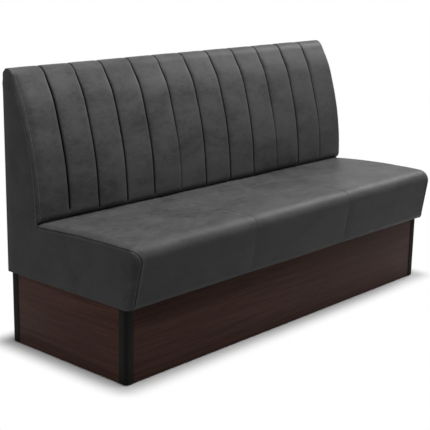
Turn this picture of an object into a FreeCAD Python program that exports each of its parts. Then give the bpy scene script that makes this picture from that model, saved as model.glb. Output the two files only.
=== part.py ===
import FreeCAD, Part
import math
import os
import re

import Sketcher

# Upholstered restaurant bench: a board plinth with corner posts, a webbed seat
# with a three-section cover, and a channelled back that rolls over its top edge.
# Millimetres. Origin on the floor, at the middle of the length and of the depth.
# +X runs to the sitter's left, the sitter faces -Y, +Z is up.
# "Depth" below is the distance forward from the rear face.

SIZES = {
    # Whole bench
    "bench_length": 1800,
    "bench_depth": 690,
    "bench_height": 1022,
    "fit_gap": 0.3,
    # Seat cushion, outer shape
    "seat_height": 498,
    "seat_rear_drop": 14,
    "seat_crest_depth": 420,
    "seat_crest_radius": 2500,
    "seat_front_radius": 48,
    "seat_front_lean": 10,
    "seat_lower_radius": 22,
    "seat_padding": 10,
    "seat_crown": 4,
    "seat_seam_place": 290,
    "seat_turn_under": 8,
    # Back cushion, outer shape
    "back_thickness": 194,
    "back_top_thickness": 66,
    "back_curve_radius": 1100,
    "recline_angle": 26,
    "back_front_radius": 48,
    "back_rear_radius": 28,
    "back_rest_gap": 3,
    "channel_padding": 11,
    "channel_crown": 9,
    "channel_count": 12,
    "channel_drift": 30,
    "corner_room_share": 0.98,
    # Covers that are cut flat
    "side_cover_thickness": 6,
    "rear_cover_thickness": 3,
    "dust_cover_thickness": 1,
    # Plinth
    "plinth_height": 270,
    "plinth_front_setback": 3,
    "plinth_rear_inset": 17,
    "plinth_side_inset": 4,
    "plinth_board": 18,
    "post_width": 37,
    "post_proud": 1.5,
    "post_round": 12,
    "tongue_thickness": 4,
    "tongue_reach": 9,
    "tongue_end_margin": 20,
    "brace_place": 250,
    "cleat_width": 30,
    "glide_height": 3,
    "glide_radius": 11,
    # Seat frame
    "rail_thickness": 22,
    "seat_build_up": 98,
    "cross_rail_drop": 14,
    "front_rail_gap": 2,
    "webbing_thickness": 2,
    "webbing_width": 80,
    "webbing_count": 14,
    "webbing_end_margin": 6,
    # Back frame
    "upright_board": 18,
    "upright_place": 444,
    "back_foam_foot": 39,
    "back_foam_top": 18,
    "back_frame_gap": 3,
    "back_rail_width": 70,
    "bottom_rail_rise": 19,
    "middle_rail_share": 0.54,
    "back_panel_thickness": 4,
    "lip_below_corner": 16,
    # Screws between base and frame
    "screw_radius": 4,
    "screw_bite": 40,
    "screw_head_height": 5,
    "screw_head_radius": 7,
    "screw_hole_gap": 0.1,
}

doc = FreeCAD.newDocument("restaurant_bench")
sheet = doc.addObject("Spreadsheet::Sheet", "sizes")
for row, (name, number) in enumerate(SIZES.items(), start=1):
    sheet.set(f"A{row}", name)
    sheet.set(f"B{row}", str(number))
    sheet.setAlias(f"B{row}", name)
doc.recompute()

pieces = []

# Places that several pieces share, written in the sheet's names.
# The foam, the flat side covers and the paths of the wrapped covers all follow
# one core outline, so the covers lie on the foam with only the fit gap between.
BACK_COVER = "(fit_gap + channel_padding + channel_crown)"
SEAT_COVER = "(fit_gap + seat_padding + seat_crown)"
HALF_LENGTH = "(bench_length / 2)"
INNER_HALF_LENGTH = "(bench_length / 2 - side_cover_thickness)"
FOAM_HALF_LENGTH = f"({INNER_HALF_LENGTH} - fit_gap)"
FRAME_REAR = "(rear_cover_thickness + fit_gap)"
FRAME_BOTTOM = "(plinth_height + dust_cover_thickness)"
SEAT_RAIL_TOP = "(seat_height - seat_build_up)"
WEBBING_TOP = f"({SEAT_RAIL_TOP} + webbing_thickness)"

CORE_FRONT = f"(back_thickness - {BACK_COVER})"
CORE_TOP = f"(bench_height - {BACK_COVER})"
CORE_TOP_FRONT = f"(back_top_thickness - {BACK_COVER})"
BACK_BOTTOM = "(seat_height - seat_rear_drop + back_rest_gap)"
BEND_HEIGHT = f"({CORE_TOP} - ({CORE_FRONT} - {CORE_TOP_FRONT}) / tan(recline_angle * 1deg))"
REAR_CORE_RADIUS = f"(back_rear_radius - {BACK_COVER})"
LIP_END = f"({CORE_TOP} - {REAR_CORE_RADIUS} - lip_below_corner)"

SEAT_CORE_TOP = f"(seat_height - {SEAT_COVER})"
SEAT_CORE_REAR_TOP = f"(seat_height - seat_rear_drop - {SEAT_COVER})"
SEAT_CORE_BOTTOM = f"(plinth_height + {SEAT_COVER})"
SEAT_CORE_FRONT = (
    f"(bench_depth - seat_front_radius + (seat_front_radius - {SEAT_COVER})"
    " * (1 + sin(seat_front_lean * 1deg)) / cos(seat_front_lean * 1deg))"
)
SEAT_CORE_LOWER_FRONT = (
    f"({SEAT_CORE_FRONT} - ({SEAT_CORE_TOP} - {SEAT_CORE_BOTTOM}) * tan(seat_front_lean * 1deg))"
)
TURN_UNDER_END = (
    f"({SEAT_CORE_LOWER_FRONT} - (seat_lower_radius - {SEAT_COVER}) - seat_turn_under)"
)

# The frame stands back from the core outlines by the thickness of its foam.
PANEL_BUILD_UP = "(back_panel_thickness + fit_gap)"
UPRIGHT_FRONT = f"({CORE_FRONT} - back_foam_foot - {PANEL_BUILD_UP})"
FRAME_TOP = f"({LIP_END} - back_frame_gap)"
CORE_AT_FRAME_TOP = f"({CORE_TOP_FRONT} + ({CORE_TOP} - {FRAME_TOP}) * tan(recline_angle * 1deg))"
UPRIGHT_TOP_FRONT = f"({CORE_AT_FRAME_TOP} - back_foam_top - {PANEL_BUILD_UP})"
BOTTOM_RAIL = f"({FRAME_BOTTOM} + bottom_rail_rise)"
TOP_RAIL = f"({FRAME_TOP} - back_rail_width)"
MIDDLE_RAIL = f"({BOTTOM_RAIL} + middle_rail_share * ({TOP_RAIL} - {BOTTOM_RAIL}))"
FRONT_RAIL = f"({TURN_UNDER_END} - front_rail_gap)"
FRONT_RAIL_REAR = f"({FRONT_RAIL} - rail_thickness)"
REAR_RAIL = f"({UPRIGHT_FRONT} + rail_thickness)"
CROSS_RAIL_TOP = f"({SEAT_RAIL_TOP} - cross_rail_drop)"

PLINTH_FRONT = f"({FRONT_RAIL} - plinth_front_setback)"
PLINTH_SIDE = "(bench_length / 2 - plinth_side_inset)"
CLEAT_BOTTOM = "(plinth_height - cleat_width)"
FRONT_CLEAT_DEPTH = f"({PLINTH_FRONT} - plinth_board - cleat_width / 2)"
REAR_CLEAT_DEPTH = "(plinth_rear_inset + plinth_board + cleat_width / 2)"
SCREW_BORE = "(screw_radius + screw_hole_gap)"
FRAME_BORE_DEPTH = "(screw_bite - dust_cover_thickness)"
SCREW_PLACES = [
    ("-seat_seam_place", FRONT_CLEAT_DEPTH),
    ("seat_seam_place", FRONT_CLEAT_DEPTH),
    ("-upright_place", REAR_CLEAT_DEPTH),
    ("0", REAR_CLEAT_DEPTH),
    ("upright_place", REAR_CLEAT_DEPTH),
]

LEFT = "-1"
RIGHT = "1"
SIDE_NAMES = {LEFT: "left", RIGHT: "right"}


def bound(text):
    """Return the expression with every size's name pointed at the sheet."""
    return re.sub(r"[a-z]\w*", lambda word: f"sizes.{word[0]}" if word[0] in SIZES else word[0], text)


def number(text):
    """Return what an expression comes to now."""
    return float(sheet.evalExpression(bound(text)))


def forward(depth):
    """Return the Y of a place that lies a depth forward of the rear face."""
    return f"(bench_depth / 2 - ({depth}))"


def bind(thing, prop, text):
    """Tie a property of an object to an expression."""
    thing.setExpression(prop, bound(text))


def keep(thing, label):
    """Name a finished piece and list it for the checks and the files."""
    thing.Label = label
    pieces.append(thing)
    return thing


def board(label, across, depth, height):
    """Make a rectangular piece from its two ends across, in depth and in height."""
    box = doc.addObject("Part::Box", label)
    bind(box, "Length", f"{across[1]} - ({across[0]})")
    bind(box, "Width", f"{depth[1]} - ({depth[0]})")
    bind(box, "Height", f"{height[1]} - ({height[0]})")
    bind(box, "Placement.Base.x", across[0])
    bind(box, "Placement.Base.y", forward(depth[1]))
    bind(box, "Placement.Base.z", height[0])
    return keep(box, label)


def span(side, inner, outer):
    """Return the lower and upper X of a stretch on the left or right of the bench."""
    if side == LEFT:
        return f"-({outer})", f"-({inner})"
    return inner, outer


def new_body(label):
    """Make an empty body that may hold several loose solids."""
    body = doc.addObject("PartDesign::Body", label)
    body.AllowCompound = True
    return body


def new_sketch(body, plane, lift="0"):
    """Make a sketch on one of the body's own origin planes, lifted along its normal."""
    sketch = body.newObject("Sketcher::SketchObject", f"{body.Name}_sketch")
    planes = {feature.Role: feature for feature in body.Origin.OriginFeatures}
    sketch.AttachmentSupport = [(planes[plane], "")]
    sketch.MapMode = "FlatFace"
    bind(sketch, "AttachmentOffset.Base.z", lift)
    return sketch


def pin(sketch, geometry, end, place):
    """Fix one point of a sketch at a place given as two expressions."""
    for kind, text in zip(("DistanceX", "DistanceY"), place):
        index = sketch.addConstraint(Sketcher.Constraint(kind, -1, 1, geometry, end, number(text)))
        bind(sketch, f"Constraints[{index}]", text)


def point_at(place):
    """Return a place given as two expressions as a vector in the sketch."""
    return FreeCAD.Vector(number(place[0]), number(place[1]), 0)


def draw_polygon(sketch, places):
    """Draw a closed outline of straight edges, with every corner pinned."""
    first = sketch.GeometryCount
    points = [point_at(place) for place in places]
    for start, end in zip(points, points[1:] + points[:1]):
        sketch.addGeometry(Part.LineSegment(start, end), False)
    for index, place in enumerate(places):
        before = first + (index - 1) % len(places)
        sketch.addConstraint(Sketcher.Constraint("Coincident", before, 2, first + index, 1))
        pin(sketch, first + index, 1, place)


def draw_rectangle(sketch, across, up):
    """Draw a rectangle between two places across and two up."""
    draw_polygon(sketch, [(across[0], up[0]), (across[1], up[0]), (across[1], up[1]), (across[0], up[1])])


def draw_circle(sketch, place, radius):
    """Draw a circle whose centre and radius are expressions."""
    circle = Part.Circle(point_at(place), FreeCAD.Vector(0, 0, 1), number(radius))
    geometry = sketch.addGeometry(circle, False)
    pin(sketch, geometry, 3, place)
    set_radius(sketch, geometry, radius)


def set_radius(sketch, geometry, radius):
    """Bind the radius of an arc or circle."""
    index = sketch.addConstraint(Sketcher.Constraint("Radius", geometry, number(radius)))
    bind(sketch, f"Constraints[{index}]", radius)


def corner_arc(before, corner, after, radius):
    """Return the arc that rounds a corner, and whether it starts on the edge before it."""
    into = (corner - before).normalize()
    out = (after - corner).normalize()
    reach = radius * math.tan(into.getAngle(out) / 2)
    start = corner - into * reach
    end = corner + out * reach
    turns_left = into.cross(out).z > 0
    inward = FreeCAD.Vector(-into.y, into.x, 0) if turns_left else FreeCAD.Vector(into.y, -into.x, 0)
    centre = start + inward * radius
    if not turns_left:
        start, end = end, start
    first_angle = math.atan2(start.y - centre.y, start.x - centre.x)
    last_angle = math.atan2(end.y - centre.y, end.x - centre.x)
    circle = Part.Circle(centre, FreeCAD.Vector(0, 0, 1), radius)
    return Part.ArcOfCircle(circle, first_angle, last_angle), turns_left


def draw_rounded(sketch, corners, closed):
    """Draw an outline whose corners may be rounded.

    Each corner is (across, up, radius), with a radius of None at a sharp one.
    A rounded corner keeps a pinned construction point that both its edges aim at.
    """
    count = len(corners)
    points = [point_at(corner) for corner in corners]
    arcs = {}
    marks = {}
    for index, corner in enumerate(corners):
        if corner[2] is None:
            continue
        after = points[(index + 1) % count]
        arc, starts_before = corner_arc(points[index - 1], points[index], after, number(corner[2]))
        arcs[index] = (sketch.addGeometry(arc, False), starts_before, arc)
        marks[index] = sketch.addGeometry(Part.Point(points[index]), True)
        pin(sketch, marks[index], 1, corner)
    edges = []
    for index in range(count if closed else count - 1):
        following = (index + 1) % count
        start = arc_end(arcs, index, leaving=True) or points[index]
        end = arc_end(arcs, following, leaving=False) or points[following]
        edges.append(sketch.addGeometry(Part.LineSegment(start, end), False))
    for index, edge in enumerate(edges):
        join_edge(sketch, edge, 1, index, arcs, marks)
        join_edge(sketch, edge, 2, (index + 1) % count, arcs, marks)
    for index, corner in enumerate(corners):
        if corner[2] is not None:
            set_radius(sketch, arcs[index][0], corner[2])
        elif closed or index not in (0, count - 1):
            sketch.addConstraint(Sketcher.Constraint("Coincident", edges[index - 1], 2, edges[index], 1))
            pin(sketch, edges[index], 1, corner)
        elif index == 0:
            pin(sketch, edges[0], 1, corner)
        else:
            pin(sketch, edges[-1], 2, corner)


def arc_end(arcs, index, leaving):
    """Return where the outline leaves or reaches a rounded corner's arc."""
    if index not in arcs:
        return None
    _, starts_before, arc = arcs[index]
    return arc.EndPoint if starts_before == leaving else arc.StartPoint


def join_edge(sketch, edge, end, index, arcs, marks):
    """Tie one end of an edge to the arc of the rounded corner that it runs into."""
    if index not in arcs:
        return
    arc, starts_before, _ = arcs[index]
    leaving = end == 1
    arc_point = 2 if starts_before == leaving else 1
    sketch.addConstraint(Sketcher.Constraint("Tangent", edge, end, arc, arc_point))
    sketch.addConstraint(Sketcher.Constraint("PointOnObject", marks[index], 1, edge))


def draw_bulges(sketch, places, radii):
    """Draw a row of joined arcs, all bowed to the right of their direction.

    There is one more place than there are radii.
    """
    first = sketch.GeometryCount
    points = [point_at(place) for place in places]
    for start, end, radius in zip(points, points[1:], radii):
        size = number(radius)
        chord = end - start
        middle = start + chord * (1 / 2)
        rise = math.sqrt(max(size ** 2 - (chord.Length / 2) ** 2, 0))
        centre = middle + FreeCAD.Vector(-chord.y, chord.x, 0).normalize() * rise
        first_angle = math.atan2(start.y - centre.y, start.x - centre.x)
        last_angle = math.atan2(end.y - centre.y, end.x - centre.x)
        circle = Part.Circle(centre, FreeCAD.Vector(0, 0, 1), size)
        sketch.addGeometry(Part.ArcOfCircle(circle, first_angle, last_angle), False)
    for index, radius in enumerate(radii):
        pin(sketch, first + index, 1, places[index])
        set_radius(sketch, first + index, radius)
        if index:
            sketch.addConstraint(
                Sketcher.Constraint("Coincident", first + index - 1, 2, first + index, 1)
            )
    last = first + len(radii) - 1
    pin(sketch, last, 2, places[-1])
    return first, last


def pad(body, sketch, length):
    """Raise a sketch into a solid along its normal."""
    feature = body.newObject("PartDesign::Pad", f"{body.Name}_pad")
    feature.Profile = sketch
    bind(feature, "Length", length)
    sketch.Visibility = False
    return feature


def plan_piece(label, places, bottom, top):
    """Make a piece of constant plan outline between two heights."""
    body = new_body(label)
    sketch = new_sketch(body, "XY_Plane", bottom)
    draw_polygon(sketch, places)
    pad(body, sketch, f"{top} - ({bottom})")
    return body


def end_piece(label, corners, low, high):
    """Make a piece of constant outline, seen from the end, between two places across."""
    body = new_body(label)
    sketch = new_sketch(body, "YZ_Plane", low)
    draw_rounded(sketch, [(forward(depth), up, radius) for depth, up, radius in corners], True)
    pad(body, sketch, f"{high} - ({low})")
    return body


def drill(body, places, bottom, length, radius):
    """Bore upright holes into a body from a height upwards, and make sure that they cut."""
    doc.recompute()
    volume = body.Shape.Volume
    sketch = new_sketch(body, "XY_Plane", bottom)
    for across, depth in places:
        draw_circle(sketch, (across, forward(depth)), radius)
    pocket = body.newObject("PartDesign::Pocket", f"{body.Name}_holes")
    pocket.Profile = sketch
    bind(pocket, "Length", length)
    pocket.Reversed = True
    doc.recompute()
    assert body.Shape.Volume < volume, f"{body.Name}: the holes cut nothing"


def fitted(radius, room, turn):
    """Return a corner's radius, limited to what the edges beside it have room for."""
    return f"min({radius}; corner_room_share * ({room}) / tan(({turn}) / 2 * 1deg))"


def back_path_corners():
    """Return the core outline of the back from its foot over the top to the rear lip."""
    top_turn = "90 - recline_angle"
    top_room = f"{CORE_TOP_FRONT} - {BACK_COVER} - {REAR_CORE_RADIUS}"
    top_radius = fitted(f"back_front_radius - {BACK_COVER}", top_room, top_turn)
    top_reach = f"({top_radius}) * tan(({top_turn}) / 2 * 1deg)"
    slope = f"({CORE_TOP} - {BEND_HEIGHT}) / cos(recline_angle * 1deg)"
    curve_room = f"min({BEND_HEIGHT} - {BACK_BOTTOM}; {slope} - {top_reach})"
    return [
        (CORE_FRONT, BACK_BOTTOM, None),
        (CORE_FRONT, BEND_HEIGHT, fitted(f"back_curve_radius - {BACK_COVER}", curve_room, "recline_angle")),
        (CORE_TOP_FRONT, CORE_TOP, top_radius),
        (BACK_COVER, CORE_TOP, REAR_CORE_RADIUS),
        (BACK_COVER, LIP_END, None),
    ]


def seat_path_corners():
    """Return the core outline of the seat from its rear edge to the turned-under end."""
    return [
        (f"{CORE_FRONT} + back_rest_gap", SEAT_CORE_REAR_TOP, None),
        ("seat_crest_depth", SEAT_CORE_TOP, "seat_crest_radius"),
        (SEAT_CORE_FRONT, SEAT_CORE_TOP, f"seat_front_radius - {SEAT_COVER}"),
        (SEAT_CORE_LOWER_FRONT, SEAT_CORE_BOTTOM, f"seat_lower_radius - {SEAT_COVER}"),
        (TURN_UNDER_END, SEAT_CORE_BOTTOM, None),
    ]


def sweep(body, profile, corners):
    """Sweep a profile along an outline drawn on the bench's middle plane."""
    path = new_sketch(body, "YZ_Plane")
    draw_rounded(path, [(forward(depth), up, radius) for depth, up, radius in corners], False)
    doc.recompute()
    pipe = body.newObject("PartDesign::AdditivePipe", f"{body.Name}_sweep")
    pipe.Profile = profile
    edges = [f"Edge{index}" for index in range(1, len(path.Shape.Edges) + 1)]
    pipe.Spine = (path, edges)


def groove_place(index):
    """Return the X of a sewn crease, counted from the middle one.

    The makers' creases stand a little left of even spacing, most at the middle.
    """
    even = f"{index} * bench_length / channel_count"
    return f"({even} - channel_drift * (1 - (2 * {index} / channel_count)^2))"


def bulge_radius(width, rise):
    """Return the radius of an arc over a width with a rise at its middle."""
    return f"((({width}) / 2)^2 + {rise}^2) / (2 * {rise})"


def quarter_bulge_radius(width, rise):
    """Return the radius of an arc that climbs a rise over a width and ends level."""
    return f"(({width})^2 + {rise}^2) / (2 * {rise})"


def make_back_cover():
    """Sew the channelled cover: twelve crowned channels, rolled over both ends."""
    body = new_body("back_cover")
    sketch = new_sketch(body, "XY_Plane", BACK_BOTTOM)
    inner = f"({forward(CORE_FRONT)} - fit_gap)"
    crease = f"({inner} - channel_padding)"
    crest = f"({crease} - channel_crown)"
    roll = "(channel_padding + channel_crown)"
    count = SIZES["channel_count"]
    grooves = [groove_place(index - count // 2) for index in range(1, count)]
    places = [(f"-{HALF_LENGTH}", inner), (f"(-{HALF_LENGTH} + {roll})", crest)]
    places += [(groove, crease) for groove in grooves]
    places += [(f"({HALF_LENGTH} - {roll})", crest), (HALF_LENGTH, inner)]
    first_width = f"{grooves[0]} - (-{HALF_LENGTH} + {roll})"
    last_width = f"({HALF_LENGTH} - {roll}) - {grooves[-1]}"
    radii = [roll, quarter_bulge_radius(first_width, "channel_crown")]
    for left, right in zip(grooves, grooves[1:]):
        radii.append(bulge_radius(f"{right} - {left}", "channel_crown"))
    radii += [quarter_bulge_radius(last_width, "channel_crown"), roll]
    first, last = draw_bulges(sketch, places, radii)
    close_profile(sketch, first, last, places)
    sweep(body, sketch, back_path_corners())
    keep(body, "back_cover")


def close_profile(sketch, first, last, places):
    """Close a row of arcs with straight edges through the given last and first places."""
    line = sketch.addGeometry(Part.LineSegment(point_at(places[-1]), point_at(places[0])), False)
    sketch.addConstraint(Sketcher.Constraint("Coincident", last, 2, line, 1))
    sketch.addConstraint(Sketcher.Constraint("Coincident", line, 2, first, 1))


def make_seat_covers():
    """Sew the seat cover's three sections, each crowned between its seams."""
    inner = f"({SEAT_CORE_BOTTOM} - fit_gap)"
    seam = f"({inner} - seat_padding)"
    crest = f"({seam} - seat_crown)"
    roll = "(seat_padding + seat_crown)"
    end_width = f"{HALF_LENGTH} - {roll} - seat_seam_place"
    end_radius = quarter_bulge_radius(end_width, "seat_crown")
    left_seam = ("-seat_seam_place", seam)
    right_seam = ("seat_seam_place", seam)
    left_end = [(f"-{HALF_LENGTH}", inner), (f"(-{HALF_LENGTH} + {roll})", crest)]
    right_end = [(f"({HALF_LENGTH} - {roll})", crest), (HALF_LENGTH, inner)]
    middle_radius = bulge_radius("2 * seat_seam_place", "seat_crown")
    sections = {
        "seat_cover_left": ([*left_end, left_seam], [roll, end_radius]),
        "seat_cover_middle": ([left_seam, right_seam], [middle_radius]),
        "seat_cover_right": ([right_seam, *right_end], [end_radius, roll]),
    }
    for label, (places, radii) in sections.items():
        body = new_body(label)
        sketch = new_sketch(body, "XZ_Plane", f"-({forward(TURN_UNDER_END)})")
        first, last = draw_bulges(sketch, places, radii)
        close_section(sketch, first, last, places, inner)
        sweep(body, sketch, list(reversed(seat_path_corners())))
        keep(body, label)


def close_section(sketch, first, last, places, inner):
    """Close a cover section along its inner face, with upright edges at its seams."""
    corners = [places[-1]]
    if places[-1][1] != inner:
        corners.append((places[-1][0], inner))
    if places[0][1] != inner:
        corners.append((places[0][0], inner))
    corners.append(places[0])
    points = [point_at(corner) for corner in corners]
    lines = []
    for start, end in zip(points, points[1:]):
        lines.append(sketch.addGeometry(Part.LineSegment(start, end), False))
    sketch.addConstraint(Sketcher.Constraint("Coincident", last, 2, lines[0], 1))
    for before, after, corner in zip(lines, lines[1:], corners[1:]):
        sketch.addConstraint(Sketcher.Constraint("Coincident", before, 2, after, 1))
        pin(sketch, after, 1, corner)
    sketch.addConstraint(Sketcher.Constraint("Coincident", lines[-1], 2, first, 1))


def make_side_covers():
    """Cut the flat L-shaped covers that close both ends."""
    back = list(reversed(back_path_corners()))[1:-1]
    seat = seat_path_corners()
    corners = [
        ("0", "plinth_height", None),
        ("0", f"{LIP_END} - fit_gap", None),
        (BACK_COVER, f"{LIP_END} - fit_gap", None),
        *back,
        (CORE_FRONT, SEAT_CORE_REAR_TOP, None),
        *seat[:-1],
        (f"{TURN_UNDER_END} - fit_gap", SEAT_CORE_BOTTOM, None),
        (f"{TURN_UNDER_END} - fit_gap", "plinth_height", None),
    ]
    for side, name in SIDE_NAMES.items():
        low, high = span(side, INNER_HALF_LENGTH, HALF_LENGTH)
        keep(end_piece(f"side_cover_{name}", corners, low, high), f"side_cover_{name}")


def panel_line(height):
    """Return the depth of the uprights' sloped front edge at a height above the seat rails."""
    share = f"(({FRAME_TOP} - ({height})) / ({FRAME_TOP} - {WEBBING_TOP}))"
    return f"({UPRIGHT_TOP_FRONT} + ({UPRIGHT_FRONT} - {UPRIGHT_TOP_FRONT}) * {share})"


def make_foams():
    """Shape the seat's foam block and the back's foam layer to the core outlines."""
    foam_rear = f"({UPRIGHT_FRONT} + {PANEL_BUILD_UP})"
    rail_face = f"({FRONT_RAIL} + fit_gap)"
    seat = [
        (foam_rear, WEBBING_TOP, None),
        (foam_rear, SEAT_CORE_REAR_TOP, None),
        *seat_path_corners()[:-1],
        (rail_face, SEAT_CORE_BOTTOM, None),
        (rail_face, WEBBING_TOP, None),
    ]
    frame_top = f"({FRAME_TOP} + fit_gap)"
    back = [
        *back_path_corners()[:-1],
        (BACK_COVER, frame_top, None),
        (f"{UPRIGHT_TOP_FRONT} + {PANEL_BUILD_UP}", frame_top, None),
        (f"{panel_line(BACK_BOTTOM)} + {PANEL_BUILD_UP}", BACK_BOTTOM, None),
    ]
    for label, corners in (("seat_foam", seat), ("back_foam", back)):
        keep(end_piece(label, corners, f"-{FOAM_HALF_LENGTH}", FOAM_HALF_LENGTH), label)


def make_uprights():
    """Cut the five wedge-shaped uprights, notched behind for the three long rails."""
    notch = f"({FRAME_REAR} + rail_thickness)"
    corners = [(FRAME_REAR, FRAME_BOTTOM, None)]
    for height in (BOTTOM_RAIL, MIDDLE_RAIL):
        corners += [
            (FRAME_REAR, height, None),
            (notch, height, None),
            (notch, f"{height} + back_rail_width", None),
            (FRAME_REAR, f"{height} + back_rail_width", None),
        ]
    corners += [
        (FRAME_REAR, TOP_RAIL, None),
        (notch, TOP_RAIL, None),
        (notch, FRAME_TOP, None),
        (UPRIGHT_TOP_FRONT, FRAME_TOP, None),
        (UPRIGHT_FRONT, WEBBING_TOP, None),
        (UPRIGHT_FRONT, FRAME_BOTTOM, None),
    ]
    for side, name in SIDE_NAMES.items():
        low, high = span(side, f"{INNER_HALF_LENGTH} - upright_board", INNER_HALF_LENGTH)
        keep(end_piece(f"back_upright_{name}_end", corners, low, high), f"back_upright_{name}_end")
    for name, place in (("left", "-upright_place"), ("middle", "0"), ("right", "upright_place")):
        low = f"({place} - upright_board / 2)"
        high = f"({place} + upright_board / 2)"
        body = end_piece(f"back_upright_{name}", corners, low, high)
        drill(body, [(place, REAR_CLEAT_DEPTH)], FRAME_BOTTOM, FRAME_BORE_DEPTH, SCREW_BORE)
        keep(body, f"back_upright_{name}")


def make_back_rails():
    """Saw the three long rails of the back and the plywood panel on its sloped front."""
    across = (f"-{INNER_HALF_LENGTH}", INNER_HALF_LENGTH)
    depth = (FRAME_REAR, f"({FRAME_REAR} + rail_thickness)")
    bottoms = {
        "back_rail_bottom": BOTTOM_RAIL,
        "back_rail_middle": MIDDLE_RAIL,
        "back_rail_top": TOP_RAIL,
    }
    for label, bottom in bottoms.items():
        board(label, across, depth, (bottom, f"({bottom} + back_rail_width)"))
    panel = [
        (UPRIGHT_FRONT, WEBBING_TOP, None),
        (f"{UPRIGHT_FRONT} + back_panel_thickness", WEBBING_TOP, None),
        (f"{UPRIGHT_TOP_FRONT} + back_panel_thickness", FRAME_TOP, None),
        (UPRIGHT_TOP_FRONT, FRAME_TOP, None),
    ]
    keep(end_piece("back_panel", panel, *across), "back_panel")


def make_seat_frame():
    """Saw the seat frame's rails, and bore the two that are screwed to the base."""
    height = (FRAME_BOTTOM, SEAT_RAIL_TOP)
    inner_half = f"({INNER_HALF_LENGTH} - rail_thickness)"
    whole = (f"-{INNER_HALF_LENGTH}", INNER_HALF_LENGTH)
    board("seat_rail_front", whole, (FRONT_RAIL_REAR, FRONT_RAIL), height)
    board("seat_rail_rear", (f"-{inner_half}", inner_half), (UPRIGHT_FRONT, REAR_RAIL), height)
    near = forward(REAR_RAIL)
    far = forward(FRONT_RAIL_REAR)
    for side, name in SIDE_NAMES.items():
        across = span(side, inner_half, INNER_HALF_LENGTH)
        board(f"seat_rail_{name}_end", across, (UPRIGHT_FRONT, FRONT_RAIL_REAR), height)
        place = f"({side} * seat_seam_place)"
        low = f"({place} - rail_thickness / 2)"
        high = f"({place} + rail_thickness / 2)"
        outline = [(low, near), (high, near), (high, far), (low, far)]
        body = plan_piece(f"seat_cross_rail_{name}", outline, FRAME_BOTTOM, CROSS_RAIL_TOP)
        drill(body, [(place, FRONT_CLEAT_DEPTH)], FRAME_BOTTOM, FRAME_BORE_DEPTH, SCREW_BORE)
        keep(body, f"seat_cross_rail_{name}")


def make_webbing():
    """Stretch the straps from the rear rail to the front rail, side by side."""
    body = new_body("seat_webbing")
    sketch = new_sketch(body, "XY_Plane", SEAT_RAIL_TOP)
    rear_end = forward(f"{UPRIGHT_FRONT} + back_panel_thickness + webbing_end_margin")
    front_end = forward(f"{FRONT_RAIL} - webbing_end_margin")
    for index in range(SIZES["webbing_count"]):
        centre = f"({2 * index + 1} / (2 * webbing_count) - 1 / 2) * 2 * {INNER_HALF_LENGTH}"
        low = f"({centre} - webbing_width / 2)"
        high = f"({centre} + webbing_width / 2)"
        draw_rectangle(sketch, (low, high), (front_end, rear_end))
    pad(body, sketch, "webbing_thickness")
    keep(body, "seat_webbing")


def make_flat_covers():
    """Cut the rear cover and the dust cover under the frame."""
    across = (f"-{FOAM_HALF_LENGTH}", FOAM_HALF_LENGTH)
    height = ("plinth_height", f"({LIP_END} - fit_gap)")
    board("rear_cover", across, ("0", "rear_cover_thickness"), height)
    body = new_body("dust_cover")
    sketch = new_sketch(body, "XY_Plane", "plinth_height")
    draw_rectangle(sketch, across, (forward(FRONT_RAIL), forward(FRAME_REAR)))
    for place, depth in SCREW_PLACES:
        cut_x = (f"({place} - {SCREW_BORE})", f"({place} + {SCREW_BORE})")
        cut_y = (f"({forward(depth)} - {SCREW_BORE})", f"({forward(depth)} + {SCREW_BORE})")
        draw_rectangle(sketch, cut_x, cut_y)
    pad(body, sketch, "dust_cover_thickness")
    keep(body, "dust_cover")


def slotted_end(edge, centre, sign):
    """Return the plan points of a board's end edge with the slot for its tongue.

    The edge is (along, from, to); the slot goes into the board against the sign.
    """
    along, start, end = edge
    half = "tongue_thickness / 2 + fit_gap"
    slot = f"({along} - ({sign}) * (tongue_reach + fit_gap))"
    direction = "1" if number(end) > number(start) else "-1"
    near = f"({centre} - ({direction}) * ({half}))"
    far = f"({centre} + ({direction}) * ({half}))"
    return [(along, start), (along, near), (slot, near), (slot, far), (along, far), (along, end)]


def flip(places):
    """Swap the two directions of a list of plan points."""
    return [(second, first) for first, second in places]


def keep_panel(name, outline):
    """Raise a plinth panel from its plan outline, as high as the plinth."""
    label = f"plinth_panel_{name}"
    keep(plan_piece(label, outline, "glide_height", "plinth_height"), label)


def make_plinth_panels():
    """Saw the four panels, with a slot in each end for its loose tongue."""
    long_half = f"({PLINTH_SIDE} - post_width + post_proud)"
    panels = {"front": (forward(PLINTH_FRONT), "1"), "rear": (forward("plinth_rear_inset"), "-1")}
    for name, (face, inward) in panels.items():
        back = f"({face} + ({inward}) * plinth_board)"
        centre = f"({face} + ({inward}) * plinth_board / 2)"
        outline = slotted_end((long_half, face, back), centre, "1")
        outline += slotted_end((f"-{long_half}", back, face), centre, "-1")
        keep_panel(name, outline)
    front_end = f"({forward(PLINTH_FRONT)} + post_width - post_proud)"
    rear_end = f"({forward('plinth_rear_inset')} - post_width + post_proud)"
    for side, name in SIDE_NAMES.items():
        face = f"({side} * {PLINTH_SIDE})"
        back = f"({face} - ({side}) * plinth_board)"
        centre = f"({face} - ({side}) * plinth_board / 2)"
        outline = flip(slotted_end((rear_end, face, back), centre, "1"))
        outline += flip(slotted_end((front_end, back, face), centre, "-1"))
        keep_panel(name, outline)


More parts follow.
